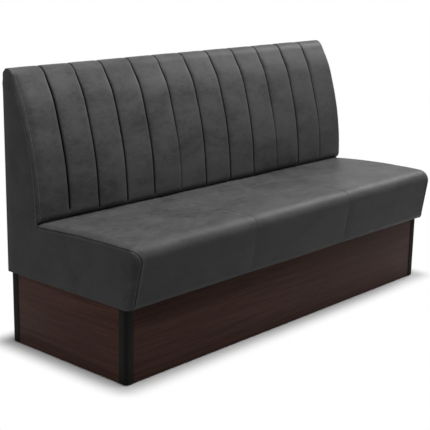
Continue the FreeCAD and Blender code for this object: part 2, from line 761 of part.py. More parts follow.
def make_posts():
    """Mould the four corner posts, rounded outside and slotted for the tongues."""
    ends = {"front": (forward(PLINTH_FRONT), "-1"), "rear": (forward("plinth_rear_inset"), "1")}
    for end_name, (face, outward) in ends.items():
        for side, side_name in SIDE_NAMES.items():
            label = f"plinth_post_{end_name}_{side_name}"
            outer_x = f"({side} * ({PLINTH_SIDE} + post_proud))"
            inner_x = f"({outer_x} - ({side}) * post_width)"
            outer_y = f"({face} + ({outward}) * post_proud)"
            inner_y = f"({outer_y} - ({outward}) * post_width)"
            slot_y = f"({face} - ({outward}) * plinth_board / 2)"
            slot_x = f"({side} * ({PLINTH_SIDE} - plinth_board / 2))"
            inner_ends = slotted_end((inner_x, outer_y, inner_y), slot_y, f"-({side})")
            inner_ends += flip(slotted_end((inner_y, inner_x, outer_x), slot_x, f"-({outward})"))[1:]
            outline = [(outer_x, outer_y, "post_round")]
            outline += [(x, y, None) for x, y in inner_ends]
            body = new_body(label)
            sketch = new_sketch(body, "XY_Plane", "glide_height")
            draw_rounded(sketch, outline, True)
            pad(body, sketch, "plinth_height - glide_height")
            keep(body, label)


def make_tongues():
    """Cut the eight loose tongues between panels and posts."""
    body = new_body("plinth_tongues")
    bottom = "(glide_height + tongue_end_margin)"
    sketch = new_sketch(body, "XY_Plane", bottom)
    half = "tongue_thickness / 2"
    joint_x = f"({PLINTH_SIDE} - post_width + post_proud)"
    slot_x = f"({PLINTH_SIDE} - plinth_board / 2)"
    faces = {forward(PLINTH_FRONT): "-1", forward("plinth_rear_inset"): "1"}
    for face, outward in faces.items():
        joint_y = f"({face} - ({outward}) * (post_width - post_proud))"
        slot_y = f"({face} - ({outward}) * plinth_board / 2)"
        for side in SIDE_NAMES:
            draw_tongue(sketch, (f"({side} * {joint_x})", slot_y), ("tongue_reach", half))
            draw_tongue(sketch, (f"({side} * {slot_x})", joint_y), (half, "tongue_reach"))
    pad(body, sketch, "plinth_height - glide_height - 2 * tongue_end_margin")
    keep(body, "plinth_tongues")


def draw_tongue(sketch, centre, halves):
    """Draw one tongue's rectangle about its centre."""
    across = (f"{centre[0]} - {halves[0]}", f"{centre[0]} + {halves[0]}")
    up = (f"{centre[1]} - {halves[1]}", f"{centre[1]} + {halves[1]}")
    draw_rectangle(sketch, across, up)


def make_base_stiffening():
    """Saw the cross braces and the cleats that the upholstered frame is screwed to."""
    inside = ("(plinth_rear_inset + plinth_board)", f"({PLINTH_FRONT} - plinth_board)")
    for side, name in SIDE_NAMES.items():
        middle = f"({side} * brace_place)"
        across = (f"({middle} - plinth_board / 2)", f"({middle} + plinth_board / 2)")
        board(f"plinth_brace_{name}", across, inside, ("glide_height", CLEAT_BOTTOM))
    half = f"({PLINTH_SIDE} - post_width)"
    cleats = {"front": FRONT_CLEAT_DEPTH, "rear": REAR_CLEAT_DEPTH}
    for name, middle in cleats.items():
        near = forward(f"{middle} + cleat_width / 2")
        far = forward(f"{middle} - cleat_width / 2")
        outline = [(f"-{half}", near), (half, near), (half, far), (f"-{half}", far)]
        body = plan_piece(f"plinth_cleat_{name}", outline, CLEAT_BOTTOM, "plinth_height")
        places = [place for place in SCREW_PLACES if place[1] == middle]
        drill(body, places, CLEAT_BOTTOM, "cleat_width", SCREW_BORE)
        keep(body, f"plinth_cleat_{name}")


def make_glides():
    """Mould the glides under the posts and under both ends of the braces."""
    body = new_body("plinth_glides")
    sketch = new_sketch(body, "XY_Plane")
    post_middle = "(post_width / 2 - post_proud)"
    rows = [
        f"(plinth_rear_inset + {post_middle})",
        f"({PLINTH_FRONT} - {post_middle})",
    ]
    for depth in rows:
        for side in SIDE_NAMES:
            for across in (f"({PLINTH_SIDE} - {post_middle})", "brace_place"):
                draw_circle(sketch, (f"{side} * {across}", forward(depth)), "glide_radius")
    pad(body, sketch, "glide_height")
    keep(body, "plinth_glides")


def make_screws():
    """Turn the hexagon-head screws that hold the frame down on the base."""
    body = new_body("base_screws")
    heads = new_sketch(body, "XY_Plane", f"{CLEAT_BOTTOM} - screw_head_height")
    for place, depth in SCREW_PLACES:
        corners = []
        for step in range(6):
            x = f"({place} + screw_head_radius * cos({step} * 60deg))"
            y = f"({forward(depth)} + screw_head_radius * sin({step} * 60deg))"
            corners.append((x, y))
        draw_polygon(heads, corners)
    pad(body, heads, "screw_head_height")
    shanks = new_sketch(body, "XY_Plane", CLEAT_BOTTOM)
    for place, depth in SCREW_PLACES:
        draw_circle(shanks, (place, forward(depth)), "screw_radius")
    pad(body, shanks, "cleat_width + screw_bite")
    keep(body, "base_screws")


def check_document():
    """Stop if any object failed or any piece has no sound solid."""
    doc.recompute()
    for thing in doc.Objects:
        states = [state for state in thing.State if state in ("Invalid", "Error")]
        assert not states, f"{thing.Name}: {states}"
    for piece in pieces:
        assert not piece.Shape.isNull(), f"{piece.Label}: no shape"
        assert piece.Shape.isValid(), f"{piece.Label}: the shape isn't valid"
        assert piece.Shape.Solids, f"{piece.Label}: no solid"


def write_files():
    """Write each piece to a file of its own name."""
    os.makedirs("parts", exist_ok=True)
    for piece in pieces:
        piece.Shape.exportStep(f"parts/{piece.Label}.step")


make_plinth_panels()
make_posts()
make_tongues()
make_base_stiffening()
make_glides()
make_screws()
make_seat_frame()
make_webbing()
make_uprights()
make_back_rails()
make_foams()
make_flat_covers()
make_side_covers()
make_seat_covers()
make_back_cover()
check_document()
write_files()
for piece in pieces:
    print(f"{piece.Label}: {len(piece.Shape.Solids)} solids, {piece.Shape.Volume / 1e6:.3f} litres")
print(len(pieces), "pieces")
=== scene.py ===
"""The upholstered bench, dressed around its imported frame.

Every length is in metres, in the row frame: X along the bench, -Y the way that it faces, Z up.
An outline is drawn in depth, counted forwards from the rear face, and in height.
"""
import logging
import math
from dataclasses import dataclass
from enum import Enum
from typing import Callable, Iterable, Protocol, Sequence

import bmesh
import bpy
from mathutils import Matrix, Vector, noise


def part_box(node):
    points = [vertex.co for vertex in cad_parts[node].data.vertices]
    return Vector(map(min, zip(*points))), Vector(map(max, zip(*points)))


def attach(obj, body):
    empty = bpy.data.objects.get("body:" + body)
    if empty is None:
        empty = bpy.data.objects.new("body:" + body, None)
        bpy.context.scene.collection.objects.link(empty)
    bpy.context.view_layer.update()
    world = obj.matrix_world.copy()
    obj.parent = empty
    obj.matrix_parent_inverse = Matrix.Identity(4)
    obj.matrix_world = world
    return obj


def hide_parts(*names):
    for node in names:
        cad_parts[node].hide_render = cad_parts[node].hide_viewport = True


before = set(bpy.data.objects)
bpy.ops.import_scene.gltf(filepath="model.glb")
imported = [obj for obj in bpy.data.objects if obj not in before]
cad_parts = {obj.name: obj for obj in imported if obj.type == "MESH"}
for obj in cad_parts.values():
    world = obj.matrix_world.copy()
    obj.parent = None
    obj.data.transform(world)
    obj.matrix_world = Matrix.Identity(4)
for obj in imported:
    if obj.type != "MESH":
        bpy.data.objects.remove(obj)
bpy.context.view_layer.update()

log = logging.getLogger("bench")

BODY = "root"
MERGE_DISTANCE = 1e-5
SMOOTH_ANGLE = math.radians(38)
# Name of the vertex attribute that holds the painted shade of creases, seams, ends and hidden inner faces.
PAINTED_SHADE_LAYER = "fold"


class Side(Enum):
    """The bench's two ends, as seen from the front."""

    LEFT = -1
    RIGHT = 1

    @property
    def label(self) -> str:
        """Return the end's name in the pieces' names."""
        return self.name.lower()


class Grain(Enum):
    """The way that a board's grain runs."""

    ALONG = "x"
    ACROSS = "y"
    UPRIGHT = "z"

    def stretch(self, ratio: float) -> Vector:
        """Return the scale that draws a pattern out along the grain."""
        return Vector([1 / ratio if self.value == axis else 1.0 for axis in "xyz"])


@dataclass(frozen=True)
class BenchSizes:
    """The bench's main sizes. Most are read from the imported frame, the rest are its drawn shape."""

    half_length: float
    panel_inner: float
    rear: float
    base_height: float
    back_foot: float
    back_padding: float
    back_front: float
    core_top: float
    lip_end: float
    seat_top: float
    seat_bottom: float
    seat_reach: float
    turn_under_end: float
    seam_place: float
    cover_gap: float = 0.0003
    rail_overlap: float = 0.002
    recline: float = math.radians(26)
    back_crest_depth: float = 0.0457
    back_bend_radius: float = 1.0708
    back_front_radius: float = 0.0277
    back_rear_radius: float = 0.0077
    seat_rear_drop: float = 0.014
    seat_crest_depth: float = 0.420
    seat_crest_radius: float = 2.5
    seat_front_radius: float = 0.0337
    seat_lower_radius: float = 0.0077
    seat_lean: float = math.radians(10)

    @classmethod
    def from_frame(cls) -> "BenchSizes":
        """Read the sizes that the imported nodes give.

        Returns:
            The sizes of the bench as it was packed.
        """
        panel_low, panel_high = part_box("side_cover_right")
        _, rear_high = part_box("rear_cover")
        back_low, back_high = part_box("back_cover")
        foam_low, foam_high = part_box("back_foam")
        seat_low, seat_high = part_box("seat_foam")
        rail_low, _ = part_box("seat_rail_front")
        _, middle_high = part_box("seat_cover_middle")
        rear = rear_high.y
        gap = cls.cover_gap
        return cls(
            half_length=panel_high.x,
            panel_inner=panel_low.x,
            rear=rear,
            base_height=panel_low.z,
            back_foot=back_low.z,
            back_padding=back_high.z - foam_high.z - gap,
            back_front=rear - foam_low.y,
            core_top=foam_high.z,
            lip_end=rear_high.z + gap,
            seat_top=seat_high.z,
            seat_bottom=seat_low.z,
            seat_reach=rear - seat_low.y,
            turn_under_end=rear - rail_low.y + cls.rail_overlap,
            seam_place=middle_high.x,
        )

    def place(self, x: float, depth: float, height: float) -> Vector:
        """Return a point of the row frame from its place along the bench, its depth and its height."""
        return Vector((x, self.rear - depth, height))


@dataclass(frozen=True)
class Corner:
    """A corner of an outline, with the radius that rounds it."""

    depth: float
    height: float
    radius: float = 0.0

    @property
    def point(self) -> Vector:
        """Return the corner as a flat point."""
        return Vector((self.depth, self.height))


@dataclass(frozen=True)
class Stretch:
    """A straight or round stretch of an outline."""

    start: Vector
    heading: float
    length: float
    turn: float

    def at(self, run: float) -> tuple[Vector, Vector]:
        """Find a place on the stretch.

        Args:
            run: The way from its start.

        Returns:
            The point there and the unit normal to the right of the way that it runs.
        """
        heading = self.heading + self.turn * run / self.length
        normal = Vector((math.sin(heading), -math.cos(heading)))
        if self.turn == 0:
            return self.start + Vector((math.cos(heading), math.sin(heading))) * run, normal
        radius = self.length / self.turn
        first = Vector((math.sin(self.heading), -math.cos(self.heading)))
        return self.start + radius * (normal - first), normal


class Outline:
    """A path of straight stretches joined by tangent arcs, which runs with the outside on its right."""

    def __init__(self, corners: Sequence[Corner]) -> None:
        """Lay out the stretches.

        Args:
            corners: The corners in order, the first and last of them the ends.
        """
        self.stretches: list[Stretch] = []
        start = corners[0].point
        for before, corner, after in zip(corners, corners[1:], corners[2:]):
            arriving = (corner.point - before.point).normalized()
            leaving = (after.point - corner.point).normalized()
            turn = math.atan2(arriving.cross(leaving), arriving.dot(leaving))
            reach = corner.radius * math.tan(abs(turn) / 2)
            self.add(start, corner.point - arriving * reach)
            if corner.radius:
                heading = math.atan2(arriving.y, arriving.x)
                arc = Stretch(corner.point - arriving * reach, heading, corner.radius * abs(turn), turn)
                self.stretches.append(arc)
            start = corner.point + leaving * reach
        self.add(start, corners[-1].point)
        self.length = sum(stretch.length for stretch in self.stretches)

    def add(self, start: Vector, end: Vector) -> None:
        """Add a straight stretch, unless nothing is left of it."""
        way = end - start
        if way.length > MERGE_DISTANCE:
            self.stretches.append(Stretch(start.copy(), math.atan2(way.y, way.x), way.length, 0.0))

    def at(self, run: float) -> tuple[Vector, Vector]:
        """Find the point and outward normal at a way along the whole outline."""
        for stretch in self.stretches:
            if run <= stretch.length:
                return stretch.at(run)
            run -= stretch.length
        return self.stretches[-1].at(self.stretches[-1].length)


def back_core(sizes: BenchSizes, foot: float) -> Outline:
    """Draw the core of the back from its foot, up its front and over the top to the rear lip.

    Args:
        sizes: The bench's sizes.
        foot: The height where the outline starts.

    Returns:
        The outline that the back's covers lie on.
    """
    rear_depth = sizes.back_padding + sizes.cover_gap
    slope_depth = sizes.back_front - sizes.back_crest_depth
    bend_height = sizes.core_top - slope_depth / math.tan(sizes.recline)
    return Outline([
        Corner(sizes.back_front, foot),
        Corner(sizes.back_front, bend_height, sizes.back_bend_radius),
        Corner(sizes.back_crest_depth, sizes.core_top, sizes.back_front_radius),
        Corner(rear_depth, sizes.core_top, sizes.back_rear_radius),
        Corner(rear_depth, sizes.lip_end),
    ])


def seat_core(sizes: BenchSizes, rear_depth: float) -> Outline:
    """Draw the core of the seat from its turned-under front edge, over the front and back to its rear.

    Args:
        sizes: The bench's sizes.
        rear_depth: The depth where the outline ends.

    Returns:
        The outline that the seat's covers lie on.
    """
    half_turn = (math.pi / 2 + sizes.seat_lean) / 2
    front = sizes.seat_reach + sizes.seat_front_radius * (math.tan(half_turn) - 1)
    lower_front = front - (sizes.seat_top - sizes.seat_bottom) * math.tan(sizes.seat_lean)
    return Outline([
        Corner(sizes.turn_under_end, sizes.seat_bottom),
        Corner(lower_front, sizes.seat_bottom, sizes.seat_lower_radius),
        Corner(front, sizes.seat_top, sizes.seat_front_radius),
        Corner(sizes.seat_crest_depth, sizes.seat_top, sizes.seat_crest_radius),
        Corner(rear_depth, sizes.seat_top - sizes.seat_rear_drop),
    ])


def crowded(low: float, high: float, steps: int, crowd: float) -> list[float]:
    """Share out places from low to high that crowd towards both ends.

    Args:
        low: The first place.
        high: The last place.
        steps: The steps from either end to the middle.
        crowd: How strongly they crowd, 1 for even steps.

    Returns:
        Twice as many places as steps, and the middle one.
    """
    half = (high - low) / 2
    near = [half * (step / steps) ** crowd for step in range(steps)]
    return [low + way for way in near] + [low + half] + [high - way for way in reversed(near)]


def smooth(share: float) -> float:
    """Return a share from 0 to 1 eased at both ends."""
    share = min(1.0, max(0.0, share))
    return share * share * (3 - 2 * share)


def blend(first: float, second: float, share: float) -> float:
    """Return the value that lies a share of the way from the first to the second."""
    return first + (second - first) * share


def quarter_round(share: float) -> float:
    """Return how high a quarter circle has climbed at a share of its width."""
    share = min(1.0, max(0.0, share))
    return math.sqrt(share * (2 - share))


def curve_through(before: float, start: float, end: float, after: float, share: float) -> float:
    """Return the value at a share of the way from start to end, on a smooth curve through all four."""
    pull = (end - before) / 2
    push = (after - start) / 2
    rise = start - end
    cubed = 2 * rise + pull + push
    squared = -3 * rise - 2 * pull - push
    return (cubed * share + squared) * share ** 2 + pull * share + start


@dataclass(frozen=True)
class Waves:
    """A layer of smooth unevenness, with its waves to the metre in both directions and its height."""

    across: float
    along: float
    size: float
    seed: float = 0.0

    def at(self, x: float, y: float, shift: float = 0.0) -> float:
        """Return the height at a place, with the seed moved on by a shift."""
        return self.size * noise.noise(Vector((x * self.across, y * self.along, self.seed + shift)))


def grid_sheet(columns: Sequence, rows: Sequence, place: Callable[..., Vector]) -> bmesh.types.BMesh:
    """Make a grid whose crossings lie where a function puts them.

    Args:
        columns: What each column stands for.
        rows: What each row stands for.
        place: Gives the point of a column and a row.

    Returns:
        The mesh of the sheet.
    """
    sheet = bmesh.new()
    bmesh.ops.create_grid(sheet, x_segments=len(columns) - 1, y_segments=len(rows) - 1, size=1.0)
    for vert in sheet.verts:
        column = round((vert.co.x + 1) / 2 * (len(columns) - 1))
        row = round((vert.co.y + 1) / 2 * (len(rows) - 1))
        vert.co = place(columns[column], rows[row])
    return sheet


def grow_rim(sheet: bmesh.types.BMesh) -> list[bmesh.types.BMVert]:
    """Extrude a sheet's open edges and return the new corners, which still lie on the old ones."""
    rim = [edge for edge in sheet.edges if edge.is_boundary]
    grown = bmesh.ops.extrude_edge_only(sheet, edges=rim)["geom"]
    return [vert for vert in grown if isinstance(vert, bmesh.types.BMVert)]


def close_up(mesh: bmesh.types.BMesh) -> None:
    """Merge what touches, fill the open ends and turn every face outwards."""
    bmesh.ops.remove_doubles(mesh, verts=mesh.verts, dist=MERGE_DISTANCE)
    bmesh.ops.holes_fill(mesh, edges=[edge for edge in mesh.edges if edge.is_boundary], sides=0)
    bmesh.ops.recalc_face_normals(mesh, faces=mesh.faces)


class ShaderTree:
    """One procedural material, whose patterns read the piece's own coordinates."""

    def __init__(self, name: str) -> None:
        """Start the material with its shader and coordinates."""
        self.material = bpy.data.materials.new(name)
        self.material.use_nodes = True
        self.tree = self.material.node_tree
        self.shader = self.tree.nodes["Principled BSDF"]
        self.place = self.add("ShaderNodeTexCoord").outputs["Object"]

    def add(self, kind: str, inputs: dict | None = None, **settings: object) -> bpy.types.Node:
        """Add a node.

        Args:
            kind: The node's type.
            inputs: A value or a socket for each named or numbered input.
            settings: The node's own settings.

        Returns:
            The new node.
        """
        node = self.tree.nodes.new(kind)
        for name, value in settings.items():
            setattr(node, name, value)
        for name, value in (inputs or {}).items():
            self.feed(node, name, value)
        return node

    def feed(self, node: bpy.types.Node, name: str | int, value: object) -> None:
        """Set an input of a node, or link it where a socket is given."""
        if isinstance(value, bpy.types.NodeSocket):
            self.tree.links.new(value, node.inputs[name])
        else:
            node.inputs[name].default_value = value

    def stretched(self, scale: Vector) -> bpy.types.NodeSocket:
        """Return the coordinates scaled along each axis."""
        return self.add("ShaderNodeMapping", {"Vector": self.place, "Scale": scale}).outputs["Vector"]

    def noise(self, scale: float, detail: float = 4.0, rough: float = 0.55, bend: float = 0.0,
              place: bpy.types.NodeSocket | None = None) -> bpy.types.NodeSocket:
        """Return a noise pattern of so many features to the metre."""
        inputs = {"Vector": place or self.place, "Scale": scale, "Detail": detail, "Roughness": rough,
                  "Distortion": bend}
        return self.add("ShaderNodeTexNoise", inputs).outputs["Fac"]

    def cells(self, scale: float, feature: str = "F1",
              place: bpy.types.NodeSocket | None = None) -> bpy.types.NodeSocket:
        """Return the distance pattern of so many cells to the metre."""
        inputs = {"Vector": place or self.place, "Scale": scale}
        return self.add("ShaderNodeTexVoronoi", inputs, feature=feature).outputs["Distance"]

    def warped(self, amount: float, scale: float) -> bpy.types.NodeSocket:
        """Return the coordinates shifted by up to an amount, in waves of so many to the metre."""
        waves = self.add("ShaderNodeTexNoise", {"Vector": self.place, "Scale": scale}).outputs["Color"]
        return self.vector("MULTIPLY_ADD", waves, (amount, amount, amount), self.place).outputs["Vector"]

    def vector(self, operation: str, *values: object) -> bpy.types.Node:
        """Add a vector calculation with its values in order."""
        return self.add("ShaderNodeVectorMath", dict(enumerate(values)), operation=operation)

    def ramp(self, value: bpy.types.NodeSocket, stops: Iterable[tuple[float, Sequence[float]]]
             ) -> bpy.types.NodeSocket:
        """Return the colours of a ramp whose stops are shares of the value's range."""
        node = self.add("ShaderNodeValToRGB", {"Fac": value})
        elements = node.color_ramp.elements
        stops = list(stops)
        while len(elements) < len(stops):
            elements.new(1.0)
        for element, (share, colour) in zip(elements, stops):
            element.position = share
            element.color = (*colour, 1.0)
        return node.outputs["Color"]

    def level(self, value: bpy.types.NodeSocket, low: float, high: float, start: float = 0.3,
              end: float = 0.7) -> bpy.types.NodeSocket:
        """Return a value spread from low to high where the pattern goes from start to end."""
        inputs = {"Value": value, "From Min": start, "From Max": end, "To Min": low, "To Max": high}
        return self.add("ShaderNodeMapRange", inputs).outputs["Result"]

    def sum(self, first: bpy.types.NodeSocket, second: bpy.types.NodeSocket, share: float
            ) -> bpy.types.NodeSocket:
        """Return the first pattern with a share of the second added."""
        inputs = {0: second, 1: share, 2: first}
        return self.add("ShaderNodeMath", inputs, operation="MULTIPLY_ADD").outputs[0]

    def shaded(self, colour: bpy.types.NodeSocket, value: bpy.types.NodeSocket) -> bpy.types.NodeSocket:
        """Return a colour darkened or lightened by a value."""
        inputs = {0: 1.0, 6: colour, 7: value}
        return self.add("ShaderNodeMix", inputs, data_type="RGBA", blend_type="MULTIPLY").outputs[2]

    def bump(self, height: bpy.types.NodeSocket, distance: float, strength: float = 1.0,
             normal: bpy.types.NodeSocket | None = None) -> bpy.types.NodeSocket:
        """Return the normal of a relief, laid over another where one is given."""
        inputs = {"Height": height, "Distance": distance, "Strength": strength}
        if normal:
            inputs["Normal"] = normal
        return self.add("ShaderNodeBump", inputs).outputs["Normal"]

    def set(self, **sockets: object) -> bpy.types.Material:
        """Set the shader's sockets, named with underscores, and return the material."""
        for name, value in sockets.items():
            words = name.replace("_", " ").title().replace("Ior", "IOR")
            self.feed(self.shader, words, value)
        return self.material


class Finish(Protocol):
    """What every finish has: a name, and a way to build its material."""

    @property
    def name(self) -> str:
        """Return the material's name."""

    def material(self) -> bpy.types.Material:
        """Build the material."""


@dataclass(frozen=True)
class Leather:
    """Anthracite faux leather, softly mottled, with a fine pebbled grain, and painted shade darkening its
    creases and seams.
    """

    name: str = "faux_leather"
    dark: tuple = (0.031, 0.031, 0.031)
    light: tuple = (0.068, 0.068, 0.068)
    streak: Vector = Vector((0.55, 1.0, 1.0))
    cloud: float = 9.0
    mottle: float = 52.0
    pebble: float = 620.0

    def material(self) -> bpy.types.Material:
        """Build the leather's material."""
        tree = ShaderTree(self.name)
        drawn = tree.stretched(self.streak)
        clouds = tree.noise(self.cloud, 5.0, 0.6, 0.4, drawn)
        spots = tree.noise(self.mottle, 6.0, 0.65, 0.8, drawn)
        pebbles = tree.cells(self.pebble, "SMOOTH_F1")
        mix = tree.sum(clouds, spots, 0.7)
        colour = tree.ramp(mix, [(0.55, self.dark), (1.1, self.light)])
        colour = tree.shaded(colour, tree.level(pebbles, 1.08, 0.86, 0.1, 0.9))
        # Painted shade: the colour darkens towards 3 % in creases, at seams and ends, and on the hidden inner
        # faces.
        painted_shade = tree.add("ShaderNodeAttribute", attribute_name=PAINTED_SHADE_LAYER).outputs["Fac"]
        colour = tree.shaded(colour, tree.level(painted_shade, 1.0, 0.03, 0.0, 0.6))
        wrinkles = tree.cells(70.0, "DISTANCE_TO_EDGE", tree.warped(0.02, 40.0))
        relief = tree.bump(tree.level(wrinkles, 0.0, 1.0, 0.0, 0.12), 0.00012, 0.5)
        relief = tree.bump(spots, 0.0013, 0.5, relief)
        relief = tree.bump(pebbles, 0.00025, 0.6, relief)
        return tree.set(base_color=colour, roughness=tree.level(spots, 0.42, 0.56), normal=relief,
                        specular_ior_level=0.13)


@dataclass(frozen=True)
class Thread:
    """Twisted polyester sewing thread, a shade lighter than the leather."""

    name: str = "sewing_thread"
    dark: tuple = (0.110, 0.110, 0.110)
    light: tuple = (0.220, 0.220, 0.220)

    def material(self) -> bpy.types.Material:
        """Build the thread's material."""
        tree = ShaderTree(self.name)
        twist = tree.noise(1800.0, 2.0)
        colour = tree.ramp(twist, [(0.35, self.dark), (0.65, self.light)])
        return tree.set(base_color=colour, roughness=0.55, normal=tree.bump(twist, 0.0001, 0.5))


@dataclass(frozen=True)
class Decor:
    """Dark walnut decor on board, with a fine level grain."""

    name: str
    grain: Grain
    dark: tuple = (0.054, 0.0265, 0.0211)
    light: tuple = (0.129, 0.0656, 0.0525)

    def material(self) -> bpy.types.Material:
        """Build the decor's material."""
        tree = ShaderTree(self.name)
        long_grain = tree.stretched(self.grain.stretch(34.0))
        short_grain = tree.stretched(self.grain.stretch(12.0))
        figure = tree.noise(48.0, 6.0, 0.66, 1.4, long_grain)
        fibres = tree.noise(300.0, 4.0, 0.7, 0.2, long_grain)
        pores = tree.noise(900.0, 2.0, 0.5, 0.0, short_grain)
        colour = tree.ramp(tree.sum(figure, fibres, 0.7), [(0.6, self.dark), (1.1, self.light)])
        colour = tree.shaded(colour, tree.level(pores, 0.72, 1.06, 0.34, 0.5))
        relief = tree.bump(tree.sum(fibres, pores, 0.6), 0.00012, 0.5)
        return tree.set(base_color=colour, roughness=tree.level(fibres, 0.42, 0.56), normal=relief,
                        specular_ior_level=0.06)


@dataclass(frozen=True)
class PostBlack:
    """Matt black moulded edge posts, with faint rub marks."""

    name: str = "post_black"
    dark: tuple = (0.0060, 0.0057, 0.0049)
    light: tuple = (0.0110, 0.0105, 0.0093)

    def material(self) -> bpy.types.Material:
        """Build the posts' material."""
        tree = ShaderTree(self.name)
        rubs = tree.noise(42.0, 6.0, 0.7, 0.5)
        texture = tree.noise(1500.0, 2.0)
        colour = tree.ramp(rubs, [(0.4, self.dark), (0.75, self.light)])
        return tree.set(base_color=colour, roughness=tree.level(rubs, 0.46, 0.62),
                        normal=tree.bump(texture, 0.00008, 0.6), specular_ior_level=0.07)


@dataclass(frozen=True)
class Timber:
    """Raw pine or birch ply inside the frame."""

    name: str
    grain: Grain
    dark: tuple = (0.36, 0.23, 0.12)
    light: tuple = (0.62, 0.46, 0.28)

    @classmethod
    def pine(cls, grain: Grain) -> "Timber":
        """Return the pine whose grain runs one way."""
        return cls(f"pine_{grain.name.lower()}", grain)

    def material(self) -> bpy.types.Material:
        """Build the timber's material."""
        tree = ShaderTree(self.name)
        drawn = tree.stretched(self.grain.stretch(16.0))
        rings = tree.noise(22.0, 5.0, 0.6, 2.2, drawn)
        fibres = tree.noise(420.0, 3.0, 0.6, 0.0, drawn)
        colour = tree.ramp(tree.sum(rings, fibres, 0.35), [(0.45, self.dark), (0.85, self.light)])
        return tree.set(base_color=colour, roughness=tree.level(fibres, 0.62, 0.8),
                        normal=tree.bump(fibres, 0.0002, 0.6))


@dataclass(frozen=True)
class Foam:
    """Cut upholstery foam with open pores."""

    name: str = "upholstery_foam"
    dark: tuple = (0.52, 0.47, 0.33)
    light: tuple = (0.78, 0.74, 0.60)

    def material(self) -> bpy.types.Material:
        """Build the foam's material."""
        tree = ShaderTree(self.name)
        pores = tree.cells(420.0)
        shades = tree.noise(14.0, 4.0)
        colour = tree.ramp(shades, [(0.3, self.dark), (0.7, self.light)])
        colour = tree.shaded(colour, tree.level(pores, 0.8, 1.05, 0.1, 0.6))
        return tree.set(base_color=colour, roughness=0.9, normal=tree.bump(pores, 0.0006, 0.8))


@dataclass(frozen=True)
class Weave:
    """Woven elastic webbing or bonded fleece, with its threads or fibres."""

    name: str
    dark: tuple
    light: tuple
    threads: float
    relief: float

    def material(self) -> bpy.types.Material:
        """Build the fabric's material."""
        tree = ShaderTree(self.name)
        across = tree.noise(self.threads, 2.0, 0.5, 0.0, tree.stretched(Vector((0.08, 1.0, 1.0))))
        along = tree.noise(self.threads, 2.0, 0.5, 0.0, tree.stretched(Vector((1.0, 0.08, 1.0))))
        cloth = tree.sum(across, along, 1.0)
        colour = tree.ramp(cloth, [(0.7, self.dark), (1.25, self.light)])
        return tree.set(base_color=colour, roughness=0.85, normal=tree.bump(cloth, self.relief, 0.7))


@dataclass(frozen=True)
class Steel:
    """Zinc-plated steel with fine brushing."""

    name: str = "zinc_steel"
    dark: tuple = (0.42, 0.42, 0.40)
    light: tuple = (0.66, 0.66, 0.64)

    def material(self) -> bpy.types.Material:
        """Build the steel's material."""
        tree = ShaderTree(self.name)
        brushing = tree.noise(700.0, 3.0, 0.6, 0.0, tree.stretched(Vector((1.0, 1.0, 0.1))))
        colour = tree.ramp(brushing, [(0.3, self.dark), (0.7, self.light)])
        return tree.set(base_color=colour, metallic=1.0, roughness=tree.level(brushing, 0.28, 0.45))


@dataclass(frozen=True)
class GlidePlastic:
    """Black glide plastic with a scuffed face."""

    name: str = "glide_plastic"
    dark: tuple = (0.020, 0.020, 0.020)
    light: tuple = (0.045, 0.045, 0.044)

    def material(self) -> bpy.types.Material:
        """Build the glides' material."""
        tree = ShaderTree(self.name)
        scuffs = tree.noise(260.0, 5.0, 0.7, 1.0)
        colour = tree.ramp(scuffs, [(0.4, self.dark), (0.7, self.light)])
        return tree.set(base_color=colour, roughness=tree.level(scuffs, 0.4, 0.65),
                        normal=tree.bump(scuffs, 0.0001, 0.6))


class Workshop:
    """Turns meshes into finished pieces, and keeps each material for all the pieces that share it."""

    FLAT_ANGLE = math.radians(1)
    HARD_ANGLE = math.radians(40)

    def __init__(self) -> None:
        """Start with no material built."""
        self.materials: dict[str, bpy.types.Material] = {}

    def material(self, finish: Finish) -> bpy.types.Material:
        """Return a finish's material, built on its first use."""
        if finish.name not in self.materials:
            self.materials[finish.name] = finish.material()
        return self.materials[finish.name]

    def piece(self, name: str, mesh: bmesh.types.BMesh, finish: Finish, slot: str,
              nodes: Sequence[str] = ()) -> bpy.types.Object:
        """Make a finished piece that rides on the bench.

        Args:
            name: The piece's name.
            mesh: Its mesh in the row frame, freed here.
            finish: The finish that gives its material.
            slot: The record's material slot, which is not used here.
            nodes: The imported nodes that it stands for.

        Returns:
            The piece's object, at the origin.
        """
        data = bpy.data.meshes.new(name)
        mesh.to_mesh(data)
        mesh.free()
        data.shade_smooth()
        data.set_sharp_from_angle(angle=SMOOTH_ANGLE)
        data.materials.append(self.material(finish))
        piece = bpy.data.objects.new(name, data)
        bpy.context.scene.collection.objects.link(piece)
        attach(piece, BODY)
        if nodes:
            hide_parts(*nodes)
        log.info("%s: %d faces", name, len(data.polygons))
        return piece

    def dress(self, node: str, finish: Finish) -> None:
        """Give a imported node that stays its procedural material."""
        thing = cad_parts[node]
        thing.data.materials.clear()
        thing.data.materials.append(self.material(finish))
        log.info("%s: dressed with %s", node, finish.name)

    def crisp_copy(self, node: str, edge: float) -> bmesh.types.BMesh:
        """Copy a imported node's mesh with its flat faces joined and its edges eased.

        Args:
            node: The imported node.
            edge: The width of the eased edges.

        Returns:
            The merged and bevelled mesh.
        """
        copy = bmesh.new()
        copy.from_mesh(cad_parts[node].data)
        bmesh.ops.remove_doubles(copy, verts=copy.verts, dist=MERGE_DISTANCE)
        bmesh.ops.dissolve_limit(copy, angle_limit=self.FLAT_ANGLE, verts=copy.verts, edges=copy.edges)
        joined = [line for line in copy.edges if line.is_manifold]
        hard = [line for line in joined if line.calc_face_angle() > self.HARD_ANGLE]
        bmesh.ops.bevel(copy, geom=hard, offset=edge, segments=3, profile=0.5, affect="EDGES", material=-1,
                        clamp_overlap=True)
        return copy


@dataclass(frozen=True)
class Seam:
    """A line across a cover where it is sewn down.

    Low down it keeps only a share of its depth, and below its foot none of it.
    """

    place: float
    depth: float
    width: float
    lower_share: float = 1.0
    foot: float = 0.0


